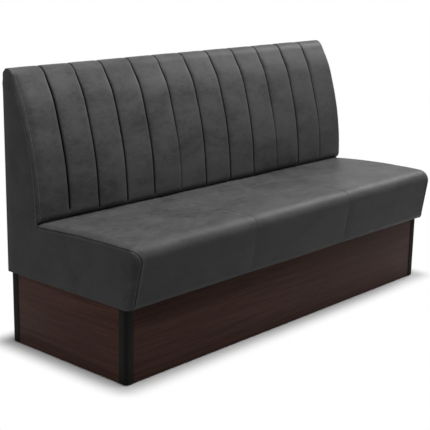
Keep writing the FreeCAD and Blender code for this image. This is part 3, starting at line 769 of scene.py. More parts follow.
class CoverSheet:
    """A padded cover's slack cloth, blown out between its seams by the padding behind it."""

    FRAMES = 20
    SLACK = 0.011
    PRESSURE = 4.0
    CAP = 0.022
    START_SHARE = 0.4
    EVEN_REACH = 0.045
    RIPPLE_SHARE = 0.15
    FULL_SHARE = 0.97
    LEAST_STEPS = 8
    JUST_INSIDE = 1e-6

    def __init__(self, outline: Outline, bounds: Sequence[float], lift: float, crown: float,
                 cell: float) -> None:
        """Lay the sheet out.

        Args:
            outline: The core outline that it lies on.
            bounds: The places along the bench where it is held down.
            lift: Its height over the core at those places.
            crown: How far it bulges between them.
            cell: The size of its meshes.
        """
        self.outline = outline
        self.bounds = bounds
        self.lift = lift
        self.crown = crown
        width = (bounds[-1] - bounds[0]) / (len(bounds) - 1)
        self.steps = max(self.LEAST_STEPS, round(width / cell))
        self.rows = round(outline.length / cell)
        self.heights: list[list[float]] = []
        self.heights = self.blow_out()

    def blow_out(self) -> list[list[float]]:
        """Run the cloth and measure it.

        Returns:
            Its height over the seams' level, for each row and each column.
        """
        columns = []
        for left, right in zip(self.bounds, self.bounds[1:]):
            columns += [blend(left, right, step / self.steps) for step in range(self.steps)]
        columns.append(self.bounds[-1])
        sheet = grid_sheet(list(enumerate(columns)), range(self.rows + 1), self.start)
        data = bpy.data.meshes.new("cover_sheet")
        sheet.to_mesh(data)
        sheet.free()
        thing = bpy.data.objects.new("cover_sheet", data)
        bpy.context.scene.collection.objects.link(thing)
        crossings = [(index % len(columns), index // len(columns)) for index in range(len(data.vertices))]
        held = [index for index, (column, row) in enumerate(crossings)
                if column % self.steps == 0 or row in (0, self.rows)]
        thing.vertex_groups.new(name="held").add(held, 1.0, "REPLACE")
        self.add_cloth(thing)
        for step in range(1, self.FRAMES + 1):
            bpy.context.scene.frame_set(step)
        blown = thing.evaluated_get(bpy.context.evaluated_depsgraph_get()).data
        heights = [[0.0] * len(columns) for _ in range(self.rows + 1)]
        for (column, row), vert in zip(crossings, blown.vertices):
            point, normal = self.outline.at(self.outline.length * row / self.rows)
            away = Vector((-vert.co.y, vert.co.z)) - point
            heights[row][column] = min(self.CAP, max(0.0, away.dot(normal) - self.lift))
        bpy.data.objects.remove(thing)
        bpy.context.scene.frame_set(1)
        return self.levelled(heights)

    def levelled(self, heights: list[list[float]]) -> list[list[float]]:
        """Return the heights with the ripples evened out and the sheet's fullest places at the crown."""
        reach = round(self.EVEN_REACH / self.outline.length * self.rows)
        evened = []
        for index, row in enumerate(heights):
            near = heights[max(0, index - reach):index + reach + 1]
            means = [sum(column) / len(near) for column in zip(*near)]
            evened.append([blend(mean, height, self.RIPPLE_SHARE) for mean, height in zip(means, row)])
        fullest = sorted(height for row in evened for height in row)
        top = fullest[int(self.FULL_SHARE * len(fullest))]
        return [[height * self.crown / top for height in row] for row in evened]

    def start(self, column: tuple[int, float], row: int) -> Vector:
        """Return where a crossing of the sheet lies before it is blown out."""
        index, x = column
        share = index % self.steps / self.steps
        height = self.lift + self.START_SHARE * self.crown * 4 * share * (1 - share)
        point, normal = self.outline.at(self.outline.length * row / self.rows)
        point = point + normal * height
        return Vector((x, -point.x, point.y))

    def add_cloth(self, thing: bpy.types.Object) -> None:
        """Give the sheet the cloth that is held at its seams and borders."""
        cloth = thing.modifiers.new("cloth", "CLOTH")
        settings = cloth.settings
        settings.quality = 6
        settings.mass = 0.3
        settings.tension_stiffness = 15
        settings.compression_stiffness = 15
        settings.shear_stiffness = 5
        settings.bending_stiffness = 0.5
        settings.use_pressure = True
        settings.uniform_pressure_force = self.PRESSURE
        settings.effector_weights.gravity = 0
        settings.vertex_group_mass = "held"
        settings.shrink_min = -self.SLACK
        settings.shrink_max = -self.SLACK
        cloth.collision_settings.use_collision = False

    def height(self, channel: int, share: float, run: float) -> float:
        """Measure the sheet's bulge.

        Args:
            channel: The channel, counted from the left.
            share: The share of the way across it.
            run: The way along the outline.

        Returns:
            The height over the seams' level.
        """
        if not self.heights:
            return self.crown * 4 * share * (1 - share)
        row = min(self.rows - self.JUST_INSIDE, run / self.outline.length * self.rows)
        first = int(row)
        rows = [min(self.rows, max(0, first + offset)) for offset in (-1, 0, 1, 2)]
        levels = [self.across(self.heights[index], channel, share) for index in rows]
        return curve_through(*levels, row - first)

    def across(self, heights: Sequence[float], channel: int, share: float) -> float:
        """Return the bulge across one row of crossings, which passes straight through the seams."""
        step = min(self.steps - self.JUST_INSIDE, share * self.steps)
        first = int(step)
        base = channel * self.steps
        values = []
        for offset in (first - 1, first, first + 1, first + 2):
            if offset < 0:
                values.append(-heights[base + 1])
            elif offset > self.steps:
                values.append(-heights[base + self.steps - 1])
            else:
                values.append(heights[base + offset])
        return curve_through(*values, step - first)


class EdgeSeam:
    """The line where a padded cover is sewn to the side panels."""

    def __init__(self, outline: Outline) -> None:
        """Keep the core outline that the seam follows."""
        self.outline = outline

    def lift(self, run: float) -> float:
        """Return how far over the core the side panel reaches at a way along the outline."""
        return 0.0

    def wrap(self, run: float) -> float:
        """Return how far the side panel bends inwards around the cover's corner."""
        return 0.0

    def place(self, run: float) -> tuple[Vector, Vector]:
        """Return the seam's point in depth and height, and the outline's normal there."""
        core, normal = self.outline.at(run)
        return core + normal * self.lift(run), normal


class BackEdgeSeam(EdgeSeam):
    """The back's edge seam, which climbs over the core behind the top edge."""

    LIFT = 0.0165
    CLIMB_PLACE = 0.075
    CLIMB_LENGTH = 0.05

    def lift(self, run: float) -> float:
        """Return how far over the core the side panel reaches, more of it behind the top edge."""
        return self.LIFT * smooth((run - self.outline.length + self.CLIMB_PLACE) / self.CLIMB_LENGTH)


class SeatEdgeSeam(EdgeSeam):
    """The seat's edge seam, which runs onto the front face as the side panel wraps the front corner."""

    LIFT = 0.0110
    WRAP_LOW = 0.013
    WRAP_HIGH = 0.021
    WRAP_START = 0.03

    def __init__(self, outline: Outline) -> None:
        """Find the stretches of the front face in the outline."""
        super().__init__(outline)
        bottom, lower_arc, front, upper_arc = [stretch.length for stretch in outline.stretches[:4]]
        self.front_start = bottom + lower_arc
        self.front_end = self.front_start + front
        self.top_start = self.front_end + upper_arc

    def in_front(self, run: float) -> float:
        """Return 1 up to the top of the front face, falling to 0 around the front rounding."""
        return smooth((self.top_start - run) / (self.top_start - self.front_end))

    def lift(self, run: float) -> float:
        """Return how far over the core the side panel reaches, all of it below and in front."""
        return self.LIFT * self.in_front(run)

    def wrap(self, run: float) -> float:
        """Return how far the side panel bends inwards, most at the top of the front face."""
        share = (run - self.front_start) / (self.front_end - self.front_start)
        across = blend(self.WRAP_LOW, self.WRAP_HIGH, min(1.0, max(0.0, share)))
        return across * self.in_front(run) * smooth(run / self.WRAP_START)


class PaddedCover:
    """A padded cover that lies on a core outline and is sewn down at its seams.

    Each cushion sets the sizes of its meshes, its crest, which is how much thicker it is between the seams,
    and the seed of its unevenness.
    """

    CLOTH_CELL: float
    COLUMN_STEPS: int
    CROWDING: float
    ROW_SPACING: float
    CREST: float
    SEED: float
    INNER_ROWS = 28
    HEM = 0.006
    HEM_ROWS = 5
    START_ROLL = HEM
    END_WIDTH = 0.027
    # Width of the painted shade at the cover's ends, and its width beside a seam as a share of the seam's
    # width.
    END_SHADE_WIDTH = 0.0030
    SHADE_WIDTH_SHARE = 0.62
    END_POWER = 1.9
    WRAP_REACH = 0.08
    FLATNESS = 1.0
    ROUND_SHARE = 1.0
    # Strength of the painted shade at the seams and at the ends.
    SEAM_SHADE = 1.0
    END_SHADE = 1.0
    EDGE_LEDGE = 0.0012
    STITCH_AWAY = 0.0085
    UNEVEN = (Waves(5.5, 8.0, 0.0009), Waves(19.0, 24.0, 0.00035, 7.0))
    PUCKER = Waves(9.0, 62.0, 0.10)

    def __init__(self, sizes: BenchSizes, edge: EdgeSeam, seams: Sequence[Seam], padding: float) -> None:
        """Keep what shapes the cover.

        Args:
            sizes: The bench's sizes.
            edge: The seam at its ends, with the core outline that it lies on.
            seams: Its seams from left to right, the ends of the bench left out.
            padding: Its thickness at the seams.
        """
        self.sizes = sizes
        self.edge = edge
        self.outline = edge.outline
        self.seams = list(seams)
        self.padding = padding
        self.bounds = self.channel_bounds()

    def channel_bounds(self) -> list[float]:
        """Return the seams' places, and past each end the place that mirrors the last one."""
        turn = self.sizes.half_length - self.END_WIDTH
        places = [seam.place for seam in self.seams]
        return [-2 * turn - places[0], *places, 2 * turn - places[-1]]

    def sheet(self) -> CoverSheet:
        """Return the cover's blown-out cloth."""
        return CoverSheet(self.outline, self.bounds, self.padding, self.CREST, self.CLOTH_CELL)

    def strength(self, seam: Seam, run: float) -> float:
        """Return how firmly a seam holds the cover down at a way along its outline."""
        return 1.0

    def crowning(self, run: float) -> float:
        """Return the share of the crown that a way along the outline has."""
        return 1.0

    def end_roll(self, side: Side) -> tuple[float, float]:
        """Return the width of the roll at one end, and the power of its curve."""
        return self.END_WIDTH, self.END_POWER

    def shaping(self, run: float) -> float:
        """Return how much thicker the padding is at a way along the outline than it is elsewhere."""
        return 0.0

    def lean(self, x: float, run: float) -> float:
        """Return how far aside the cover is drawn at a place."""
        return 0.0

    def uneven(self, x: float, run: float) -> float:
        """Return the cover's own small unevenness."""
        return sum(layer.at(x, run, self.SEED) for layer in self.UNEVEN)

    def height(self, cloth: CoverSheet, x: float, run: float) -> float:
        """Measure the cover's outer face.

        Args:
            cloth: The cover's blown-out cloth.
            x: The place along the bench.
            run: The way along the outline.

        Returns:
            The height over the core.
        """
        channel = 0
        while channel < len(self.bounds) - 2 and x > self.bounds[channel + 1]:
            channel += 1
        left, right = self.bounds[channel], self.bounds[channel + 1]
        share = (x - left) / (right - left)
        low = max(0.0, 1 - cloth.height(channel, share, run) / self.CREST)
        dip = self.CREST * blend(low ** self.FLATNESS, low, self.ROUND_SHARE) * self.crowning(run)
        height = self.padding + self.CREST - dip * self.hold(channel, share, run) + self.uneven(x, run)
        height += self.shaping(run) - self.carved(channel, x, run)
        width, power = self.end_roll(Side.LEFT if x < 0 else Side.RIGHT)
        end = (self.sizes.half_length - abs(x)) / width
        if end < 1:
            ledge = self.EDGE_LEDGE + self.edge.lift(run)
            height = ledge + (height - ledge) * (1 - (1 - max(0.0, end)) ** power)
        height *= quarter_round(run / self.START_ROLL)
        return height * quarter_round((self.outline.length - run) / self.HEM)

    def hold(self, channel: int, share: float, run: float) -> float:
        """Return how far the seams beside a channel draw it down, between none and fully."""
        left = self.seams[channel - 1] if channel > 0 else self.seams[0]
        right = self.seams[min(channel, len(self.seams) - 1)]
        return blend(self.strength(left, run), self.strength(right, run), smooth(share))

    def carved(self, channel: int, x: float, run: float) -> float:
        """Return how deep the nearest seam cuts into the cover at a place."""
        deepest = 0.0
        for seam in self.seams[max(0, channel - 1):channel + 1]:
            away = abs(x - seam.place)
            if away < seam.width:
                pucker = 1 + self.PUCKER.at(seam.place, run, self.SEED)
                cut = seam.depth * (1 - quarter_round(away / seam.width)) * pucker
                deepest = max(deepest, cut * self.bite(seam, run) * self.deepening(run))
        return deepest

    def deepening(self, run: float) -> float:
        """Return the share of the seams' depth that a way along the outline has."""
        return 1.0

    def bite(self, seam: Seam, run: float) -> float:
        """Return how far a seam's fold is closed at a way along the outline."""
        return 1.0

    def fold(self, x: float, run: float) -> float:
        """Return the painted shade of a place, by how deep in a fold it lies, from 0 in the open to at most 1
        at a seam.
        """
        painted_seam_shade = 0.0
        for seam in self.seams:
            away = abs(x - seam.place) / (self.SHADE_WIDTH_SHARE * seam.width)
            if away < 1:
                painted_seam_shade = max(painted_seam_shade, self.SEAM_SHADE * (1 - away) * self.bite(seam, run))
        end = (self.sizes.half_length - abs(x)) / self.END_SHADE_WIDTH
        return max(painted_seam_shade, self.END_SHADE * (1 - end))

    def columns(self, low: float, high: float) -> list[float]:
        """Return the places of the mesh's columns, which crowd towards the seams."""
        inside = [seam.place for seam in self.seams if low < seam.place < high]
        edges = [low, *inside, high]
        places = []
        for left, right in zip(edges, edges[1:]):
            places += crowded(left, right, self.COLUMN_STEPS, self.CROWDING)[:-1]
        return [*places, high]

    def mesh(self, cloth: CoverSheet, low: float, high: float) -> bmesh.types.BMesh:
        """Build the closed cover, or one section of it.

        Args:
            cloth: The cover's blown-out cloth.
            low: The place along the bench where it starts.
            high: The place where it ends.

        Returns:
            The mesh, with its outer face, its inner face on the core, and its ends.
        """
        columns = self.columns(low, high)
        length = self.outline.length
        hems = [self.HEM * (step / self.HEM_ROWS) ** 2 for step in range(self.HEM_ROWS)]
        count = round((length - 2 * self.HEM) / self.ROW_SPACING)
        runs = hems + [blend(self.HEM, length - self.HEM, step / count) for step in range(count + 1)]
        runs += [length - run for run in reversed(hems)]
        rows = [(run, True) for run in runs]
        rows += [(length * (1 - step / self.INNER_ROWS), False) for step in range(self.INNER_ROWS + 1)]
        shell = grid_sheet(columns, rows, lambda x, row: self.point(cloth, x, *row))
        painted_shade = shell.verts.layers.float.new(PAINTED_SHADE_LAYER)
        for index, vert in enumerate(shell.verts):
            run, outer = rows[index // len(columns)]
            # Outer faces take their painted shade from fold(); the hidden inner face is painted fully dark.
            vert[painted_shade] = self.fold(columns[index % len(columns)], run) if outer else 1.0
        close_up(shell)
        return shell

    def point(self, cloth: CoverSheet, x: float, run: float, outer: bool) -> Vector:
        """Return a point of the cover's outer or inner face."""
        core, normal = self.outline.at(run)
        height = self.sizes.cover_gap
        if outer:
            height += self.height(cloth, x, run)
        face = core + normal * height
        near = smooth((abs(x) - self.sizes.half_length + self.WRAP_REACH) / self.WRAP_REACH)
        aside = self.lean(x, run) - math.copysign(self.edge.wrap(run) * near, x)
        return self.sizes.place(x + aside, face.x, face.y)

    def stitches(self, name: str, cloth: CoverSheet, x: float, start: float, end: float) -> "StitchRow":
        """Return a row of topstitches along the outline, at a place along the bench."""
        return StitchRow(name, start, end, lambda run: self.point(cloth, x, run, True))


class BackCushion(PaddedCover):
    """The back's channelled cover: twelve pillowed channels between eleven sewn creases."""

    CLOTH_CELL = 0.0125
    COLUMN_STEPS = 12
    CROWDING = 2.2
    ROW_SPACING = 0.0065
    SEED = 11.0
    CHANNELS = 12
    CREST = 0.009
    DRIFT = 0.030
    CREASE_DEPTH = 0.0105
    CREASE_WIDTH = 0.0064
    # The painted shade beside the creases spans a larger share of their width.
    SHADE_WIDTH_SHARE = 0.82
    START_ROLL = 0.026
    END_WIDTH = 0.020
    END_ROLLS = {Side.LEFT: (0.034, 2.0), Side.RIGHT: (0.013, 2.6)}
    FLATNESS = 11.0
    ROUND_SHARE = 0.11
    CREST_CUT = 0.0032
    CREST_SHIFT = 0.008
    CREST_EASE = 0.014
    CREST_WIDTHS = (0.045, 0.022)
    BULGE = 0.0035
    BULGE_AWAY = 0.105
    BULGE_WIDTH = 0.06
    LEAN = 0.011
    TOP_CROWN = 0.15
    TOP_BITE = 0.42
    TOP_REACH = 0.15
    TOP_EASE = 0.10
    LOWER_START = 0.15
    LOWER_EASE = 0.17
    HOLD_START = -0.015
    HOLD_EASE = 0.09
    BITE_EASE = 0.008
    # Little painted shade at the back's ends.
    END_SHADE = 0.12
    FOOT_OVERLAP = 0.004
    STITCH_FOOT = 0.006
    LOWER_SHARES = (1.0, 1.0, 0.95, 1.0, 0.3, 0.95, 1.0, 1.0, 0.35, 1.0, 0.3)
    CREASE_FEET = (0.028, 0.012, 0.011, 0.015, 0.014, 0.005, 0.003, 0.003, 0.022, 0.008, 0.014)
    CREASE_SHARES = (1.4, 1.0, 1.15, 1.1, 0.9, 1.0, 1.1, 1.0, 0.9, 1.1, 0.85)

    def __init__(self, sizes: BenchSizes) -> None:
        """Set out the creases over the back's core."""
        seams = []
        creases = zip(self.LOWER_SHARES, self.CREASE_FEET, self.CREASE_SHARES)
        for index, (lower, foot, share) in enumerate(creases, start=1 - self.CHANNELS // 2):
            drift = self.DRIFT * (1 - (2 * index / self.CHANNELS) ** 2)
            place = index * 2 * sizes.half_length / self.CHANNELS - drift
            seams.append(Seam(place, self.CREASE_DEPTH * share, self.CREASE_WIDTH * share, lower, foot))
        padding = sizes.back_padding - self.CREST
        edge = BackEdgeSeam(back_core(sizes, sizes.back_foot - self.FOOT_OVERLAP))
        super().__init__(sizes, edge, seams, padding)
        foot, bend, slope, crest = [stretch.length for stretch in self.outline.stretches[:4]]
        self.crest = foot + bend + slope + crest / 2

    def end_roll(self, side: Side) -> tuple[float, float]:
        """Return the roll at one end: wide on the left, and tighter on the right."""
        return self.END_ROLLS[side]

    def shaping(self, run: float) -> float:
        """Return how much thicker the padding is: less at the crest, which it rounds, and more below."""
        above = run - self.crest + self.CREST_SHIFT
        below_width, behind_width = self.CREST_WIDTHS
        way = math.hypot(above, self.CREST_EASE) - self.CREST_EASE
        cut = self.CREST_CUT * math.exp(-way / (below_width if above < 0 else behind_width))
        return self.BULGE * math.exp(-((above + self.BULGE_AWAY) / self.BULGE_WIDTH) ** 2) - cut

    def lean(self, x: float, run: float) -> float:
        """Return how far aside the creases are drawn over the top edge."""
        return -self.LEAN * (1 - (x / self.sizes.half_length) ** 2) * self.over_top(run)

    def strength(self, seam: Seam, run: float) -> float:
        """Return how firmly a crease holds at a way up the back: less low down, and hardly at the seat."""
        return smooth((run - self.HOLD_START) / self.HOLD_EASE) * self.lower_hold(seam, run)

    def bite(self, seam: Seam, run: float) -> float:
        """Return how far a crease is closed: it ends over the seat, and some fade low down."""
        return smooth((run - seam.foot) / self.BITE_EASE) * self.lower_hold(seam, run)

    def lower_hold(self, seam: Seam, run: float) -> float:
        """Return the share that a crease keeps: its own share low down, and all of it further up."""
        return blend(seam.lower_share, 1.0, smooth((run - self.LOWER_START) / self.LOWER_EASE))

    def deepening(self, run: float) -> float:
        """Return the share of the creases' depth, which is less over the top edge."""
        return blend(1.0, self.TOP_BITE, self.over_top(run))

    def crowning(self, run: float) -> float:
        """Return the share of the crown, which the tight cover over the top edge holds flatter."""
        return blend(1.0, self.TOP_CROWN, self.over_top(run))

    def over_top(self, run: float) -> float:
        """Return how far a way up the back has come over its top edge, from 0 to 1."""
        return smooth((run - self.outline.length + self.TOP_REACH) / self.TOP_EASE)

    def make(self, workshop: Workshop) -> None:
        """Build and finish the cushion and the topstitches at its ends."""
        ends = self.sizes.half_length
        cloth = self.sheet()
        shell = self.mesh(cloth, -ends, ends)
        piece = workshop.piece("back_cushion", shell, Leather(), "faux_leather", ["back_cover"])
        for side in Side:
            x = side.value * (ends - self.STITCH_AWAY)
            end = self.outline.length - self.HEM
            self.stitches(f"back_stitches_{side.label}", cloth, x, self.STITCH_FOOT, end).make(workshop)


class SeatCushion(PaddedCover):
    """The seat's cover: three sewn sections, crowned over the foam and rolled over its front."""

    CLOTH_CELL = 0.022
    COLUMN_STEPS = 34
    CROWDING = 1.7
    ROW_SPACING = 0.0075
    SEED = 23.0
    CREST = 0.004
    PADDING = 0.010
    SEAM_DEPTH = 0.0014
    SEAM_WIDTH = 0.0034
    # Faint painted shade at the seams, and half strength at the ends.
    SEAM_SHADE = 0.25
    END_SHADE = 0.5
    FRONT_BITE = 0.3
    REAR_UNDER = 0.018
    SEAM_GAP = 0.00015
    STITCH_START = 0.012
    STITCH_SPARE = 0.03

    def __init__(self, sizes: BenchSizes) -> None:
        """Set out the two seams over the seat's core."""
        place = sizes.seam_place
        seams = [Seam(side.value * place, self.SEAM_DEPTH, self.SEAM_WIDTH) for side in Side]
        edge = SeatEdgeSeam(seat_core(sizes, sizes.back_front - self.REAR_UNDER))
        super().__init__(sizes, edge, seams, self.PADDING)

    def bite(self, seam: Seam, run: float) -> float:
        """Return how far a seam's fold is closed, which the taut cover down the front draws open."""
        share = (run - self.edge.front_end) / (self.edge.top_start - self.edge.front_end)
        return blend(self.FRONT_BITE, 1.0, smooth(share))

    def make(self, workshop: Workshop) -> None:
        """Build and finish the three sections and their topstitched seams."""
        cloth = self.sheet()
        ends = self.sizes.half_length
        inner = self.sizes.seam_place
        sections = {
            "left": (-ends, -inner - self.SEAM_GAP),
            "middle": (self.SEAM_GAP - inner, inner - self.SEAM_GAP),
            "right": (inner + self.SEAM_GAP, ends),
        }
        for label, (low, high) in sections.items():
            shell = self.mesh(cloth, low, high)
            name = f"seat_cushion_{label}"
            piece = workshop.piece(name, shell, Leather(), "faux_leather", [f"seat_cover_{label}"])
        for side in Side:
            x = side.value * inner + self.STITCH_AWAY
            end = self.outline.length - self.STITCH_SPARE
            self.stitches(f"seat_stitches_{side.label}", cloth, x, self.STITCH_START, end).make(workshop)


@dataclass
class StitchRow:
    """A row of topstitches along a line."""

    name: str
    start: float
    end: float
    line: Callable[[float], Vector]
    pitch: float = 0.0055
    fill: float = 0.72
    radius: float = 0.00070

    def make(self, workshop: Workshop) -> None:
        """Build the row's stitches, each a short spindle of thread."""
        row = bmesh.new()
        count = int((self.end - self.start) / self.pitch)
        for index in range(count):
            run = self.start + index * self.pitch
            first = self.line(run)
            last = self.line(run + self.pitch * self.fill)
            way = last - first
            turn = way.to_track_quat("Z", "Y").to_matrix().to_4x4()
            size = Matrix.Diagonal((self.radius, self.radius, way.length / 2, 1.0))
            place = Matrix.Translation((first + last) / 2)
            bmesh.ops.create_uvsphere(row, u_segments=6, v_segments=4, radius=1.0, matrix=place @ turn @ size)
        workshop.piece(self.name, row, Thread(), "faux_leather")


class EndPanel:
    """The flat padded panel that closes one end of the bench, with its topstitched edge."""

    COLUMNS = 150
    STEPS = 15
    CROWDING = 2.3
    EDGE = 0.0028
    EASE_DEPTH = 0.0040
    EASE_HEIGHT = 0.030
    RIM = 0.002
    PUFF = 0.0016
    PUFF_EASE = 0.05
    WAVES = Waves(9.0, 9.0, 0.0005, 31.0)
    WAVE_EASE = 0.02
    STITCH_START = 0.006
    BACK_SPARE = 0.004
    SEAT_SPARE = 0.008
    STITCH_AWAY = 0.0085
    THREAD_LIFT = 0.0005
    RIDGE = 0.0009
    RIDGE_AWAY = 0.0048
    RIDGE_WIDTH = 0.0026
    GROOVE = 0.0006
    GROOVE_WIDTH = 0.0018

    def __init__(self, sizes: BenchSizes, side: Side) -> None:
        """Draw the panel's seam and its straight edges."""
        self.sizes = sizes
        self.side = side
        self.back = BackEdgeSeam(back_core(sizes, sizes.seat_top - sizes.seat_rear_drop))
        self.seat = SeatEdgeSeam(seat_core(sizes, sizes.back_front))

    def make(self, workshop: Workshop) -> None:
        """Build and finish the panel and its topstitches."""
        columns = [index / self.COLUMNS for index in range(self.COLUMNS + 1)]
        rows = crowded(0.0, 1.0, self.STEPS, self.CROWDING)
        sheet = grid_sheet(columns, rows, self.face)
        for vert in grow_rim(sheet):
            inner = min(self.sizes.panel_inner, abs(vert.co.x) - self.RIM)
            vert.co.x = self.side.value * inner
        close_up(sheet)
        label = self.side.label
        node = f"side_cover_{label}"
        piece = workshop.piece(f"side_panel_{label}", sheet, Leather(), "faux_leather", [node])
        for part, edge, spare in (("back", self.back, self.BACK_SPARE), ("seat", self.seat, self.SEAT_SPARE)):
            end = edge.outline.length - spare
            row = StitchRow(f"side_stitches_{part}_{label}", self.STITCH_START, end,
                            lambda run, edge=edge: self.stitch(edge, run))
            row.make(workshop)

    def line(self, share: float) -> tuple[Vector, Vector, float, float]:
        """Find a line across the panel.

        Args:
            share: The share of the way from the top rear corner past the seat to the front edge's foot.

        Returns:
            The line's end at the seam, its end at the straight edges, how squarely it meets the seam, and
            how far the panel bends inwards there.
        """
        sizes = self.sizes
        if share <= 0.5:
            edge = self.back
            run = edge.outline.length * (1 - 2 * share)
            height = blend(sizes.lip_end, sizes.base_height, 2 * share)
            eased = max(0.0, 1 - (sizes.lip_end - height) / self.EASE_HEIGHT)
            end = Vector((self.EASE_DEPTH * eased ** 2, height))
        else:
            edge = self.seat
            run = edge.outline.length * (2 - 2 * share)
            end = Vector((blend(0.0, sizes.turn_under_end, 2 * share - 1), sizes.base_height))
        seam, normal = edge.place(run)
        square = abs((end - seam).normalized().dot(normal))
        return seam, end, square, edge.wrap(run)

    def face(self, share: float, across: float) -> Vector:
        """Return a point of the panel's outer face."""
        seam, end, square, wrap = self.line(share)
        point = seam.lerp(end, across)
        length = (end - seam).length
        inside = across * length * square
        others = (1 - across) * length
        ends = min(share, 1 - share) * (self.back.outline.length + self.seat.outline.length)
        eased = self.EDGE * (1 - quarter_round(min(others, ends) / self.EDGE))
        x = self.level(inside, self.EDGE + wrap) - eased
        border = min(inside, others, ends)
        wave = self.WAVES.at(point.x, point.y, self.side.value)
        x += self.PUFF * smooth(border / self.PUFF_EASE) + wave * smooth(border / self.WAVE_EASE)
        return self.sizes.place(self.side.value * x, point.x, point.y)

    def level(self, inside: float, bend: float) -> float:
        """Return how far out the panel lies at a way inside its seam, with its bend and its sewn rim."""
        way = bend * math.acos(max(0.0, 1 - inside / bend)) + max(0.0, inside - bend)
        ridge = math.exp(-((way - self.RIDGE_AWAY) / self.RIDGE_WIDTH) ** 2)
        groove = math.exp(-((way - self.STITCH_AWAY) / self.GROOVE_WIDTH) ** 2)
        out = self.sizes.half_length - bend * (1 - quarter_round(inside / bend))
        return out + self.RIDGE * ridge - self.GROOVE * groove

    def stitch(self, edge: EdgeSeam, run: float) -> Vector:
        """Return a place of the topstitch inside the panel's seam."""
        seam, normal = edge.place(run)
        bend = self.EDGE + edge.wrap(run)
        turned = min(self.STITCH_AWAY, bend * math.pi / 2)
        inside = bend * (1 - math.cos(turned / bend)) + self.STITCH_AWAY - turned
        point = seam - normal * inside
        x = self.level(inside, bend) + self.THREAD_LIFT
        return self.sizes.place(self.side.value * x, point.x, point.y)


class RearCover:
    """The flat cover behind the back and the seat."""

    COLUMN_STEPS = 40
    ROW_STEPS = 22
    CROWDING = 1.6
    EDGE = 0.0014
    PUFF = 0.0012
    PUFF_EASE = 0.04
    WAVES = Waves(6.0, 6.0, 0.0006, 47.0)
    WAVE_EASE = 0.03

    def __init__(self, sizes: BenchSizes) -> None:
        """Read the cover's place from the frame."""
        self.sizes = sizes
        self.low, self.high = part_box("rear_cover")

    def make(self, workshop: Workshop) -> None:
        """Build and finish the cover."""
        columns = crowded(self.low.x, self.high.x, self.COLUMN_STEPS, self.CROWDING)
        rows = crowded(self.low.z, self.high.z, self.ROW_STEPS, self.CROWDING)
        sheet = grid_sheet(columns, rows, self.face)
        for vert in grow_rim(sheet):
            vert.co.y = self.low.y
        close_up(sheet)
        piece = workshop.piece("rear_panel", sheet, Leather(), "faux_leather", ["rear_cover"])

    def face(self, x: float, z: float) -> Vector:
        """Return a point of the cover's rear face."""
        border = min(x - self.low.x, self.high.x - x, z - self.low.z, self.high.z - z)
        drawn = self.EDGE * (1 - quarter_round(border / self.EDGE))
        full = self.PUFF * smooth(border / self.PUFF_EASE)
        wave = self.WAVES.at(x, z) * smooth(border / self.WAVE_EASE)
        return Vector((x, self.high.y - drawn + full + wave, z))


class FoamCore:
    """The foam inside the seat and the back."""

    NODES = {"seat_foam": 0.004, "back_foam": 0.003}

    def make(self, workshop: Workshop) -> None:
        """Build and finish the two foam blocks with their cut edges eased."""
        for node, edge in self.NODES.items():
            block = workshop.crisp_copy(node, edge)
            piece = workshop.piece(f"{node}_block", block, Foam(), "foam", [node])


class DustCover:
    """The black fleece stapled under the frame, which hangs a little inside the plinth."""

    COLUMN_STEPS = 36
    ROW_STEPS = 16
    SAG = 0.003
    SAG_EASE = 0.15
    HELD = 0.075

    def make(self, workshop: Workshop) -> None:
        """Build and finish the sheet."""
        low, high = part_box("dust_cover")
        columns = crowded(low.x, high.x, self.COLUMN_STEPS, crowd=1.0)
        rows = crowded(low.y, high.y, self.ROW_STEPS, crowd=1.0)

        def hang(x: float, y: float) -> Vector:
            """Return a point of the hanging sheet."""
            border = min(x - low.x, high.x - x, y - low.y, high.y - y)
            return Vector((x, y, low.z - self.SAG * smooth((border - self.HELD) / self.SAG_EASE)))

        sheet = grid_sheet(columns, rows, hang)
        bmesh.ops.recalc_face_normals(sheet, faces=sheet.faces)
        bmesh.ops.solidify(sheet, geom=sheet.faces, thickness=high.z - low.z)
        fleece = Weave("dust_fleece", (0.012, 0.012, 0.012), (0.032, 0.032, 0.033), 500.0, 0.0002)
        piece = workshop.piece("dust_sheet", sheet, fleece, "dust_fabric", ["dust_cover"])


class Plinth:
    """The board plinth with its black corner posts, glides and inner parts."""

    PANEL_EDGE = 0.0008
    POST_EDGE = 0.0016

    def make(self, workshop: Workshop) -> None:
        """Build and finish the plinth's boards and posts, and dress its inner parts."""
        grains = {"front": Grain.ALONG, "rear": Grain.ALONG, "left": Grain.ACROSS, "right": Grain.ACROSS}
        for label, grain in grains.items():
            node = f"plinth_panel_{label}"
            board = workshop.crisp_copy(node, self.PANEL_EDGE)
            finish = Decor(f"walnut_decor_{grain.name.lower()}", grain)
            workshop.piece(f"plinth_board_{label}", board, finish, "plinth_decor", [node])
        for row in ("front", "rear"):
            for side in Side:
                node = f"plinth_post_{row}_{side.label}"
                post = workshop.crisp_copy(node, self.POST_EDGE)
                workshop.piece(f"edge_post_{row}_{side.label}", post, PostBlack(), "post_black", [node])
        workshop.dress("plinth_tongues", Timber.pine(Grain.UPRIGHT))
        for side in Side:
            workshop.dress(f"plinth_brace_{side.label}", Timber.pine(Grain.ACROSS))
        for row in ("front", "rear"):
            workshop.dress(f"plinth_cleat_{row}", Timber.pine(Grain.ALONG))
        workshop.dress("plinth_glides", GlidePlastic())
        workshop.dress("base_screws", Steel())


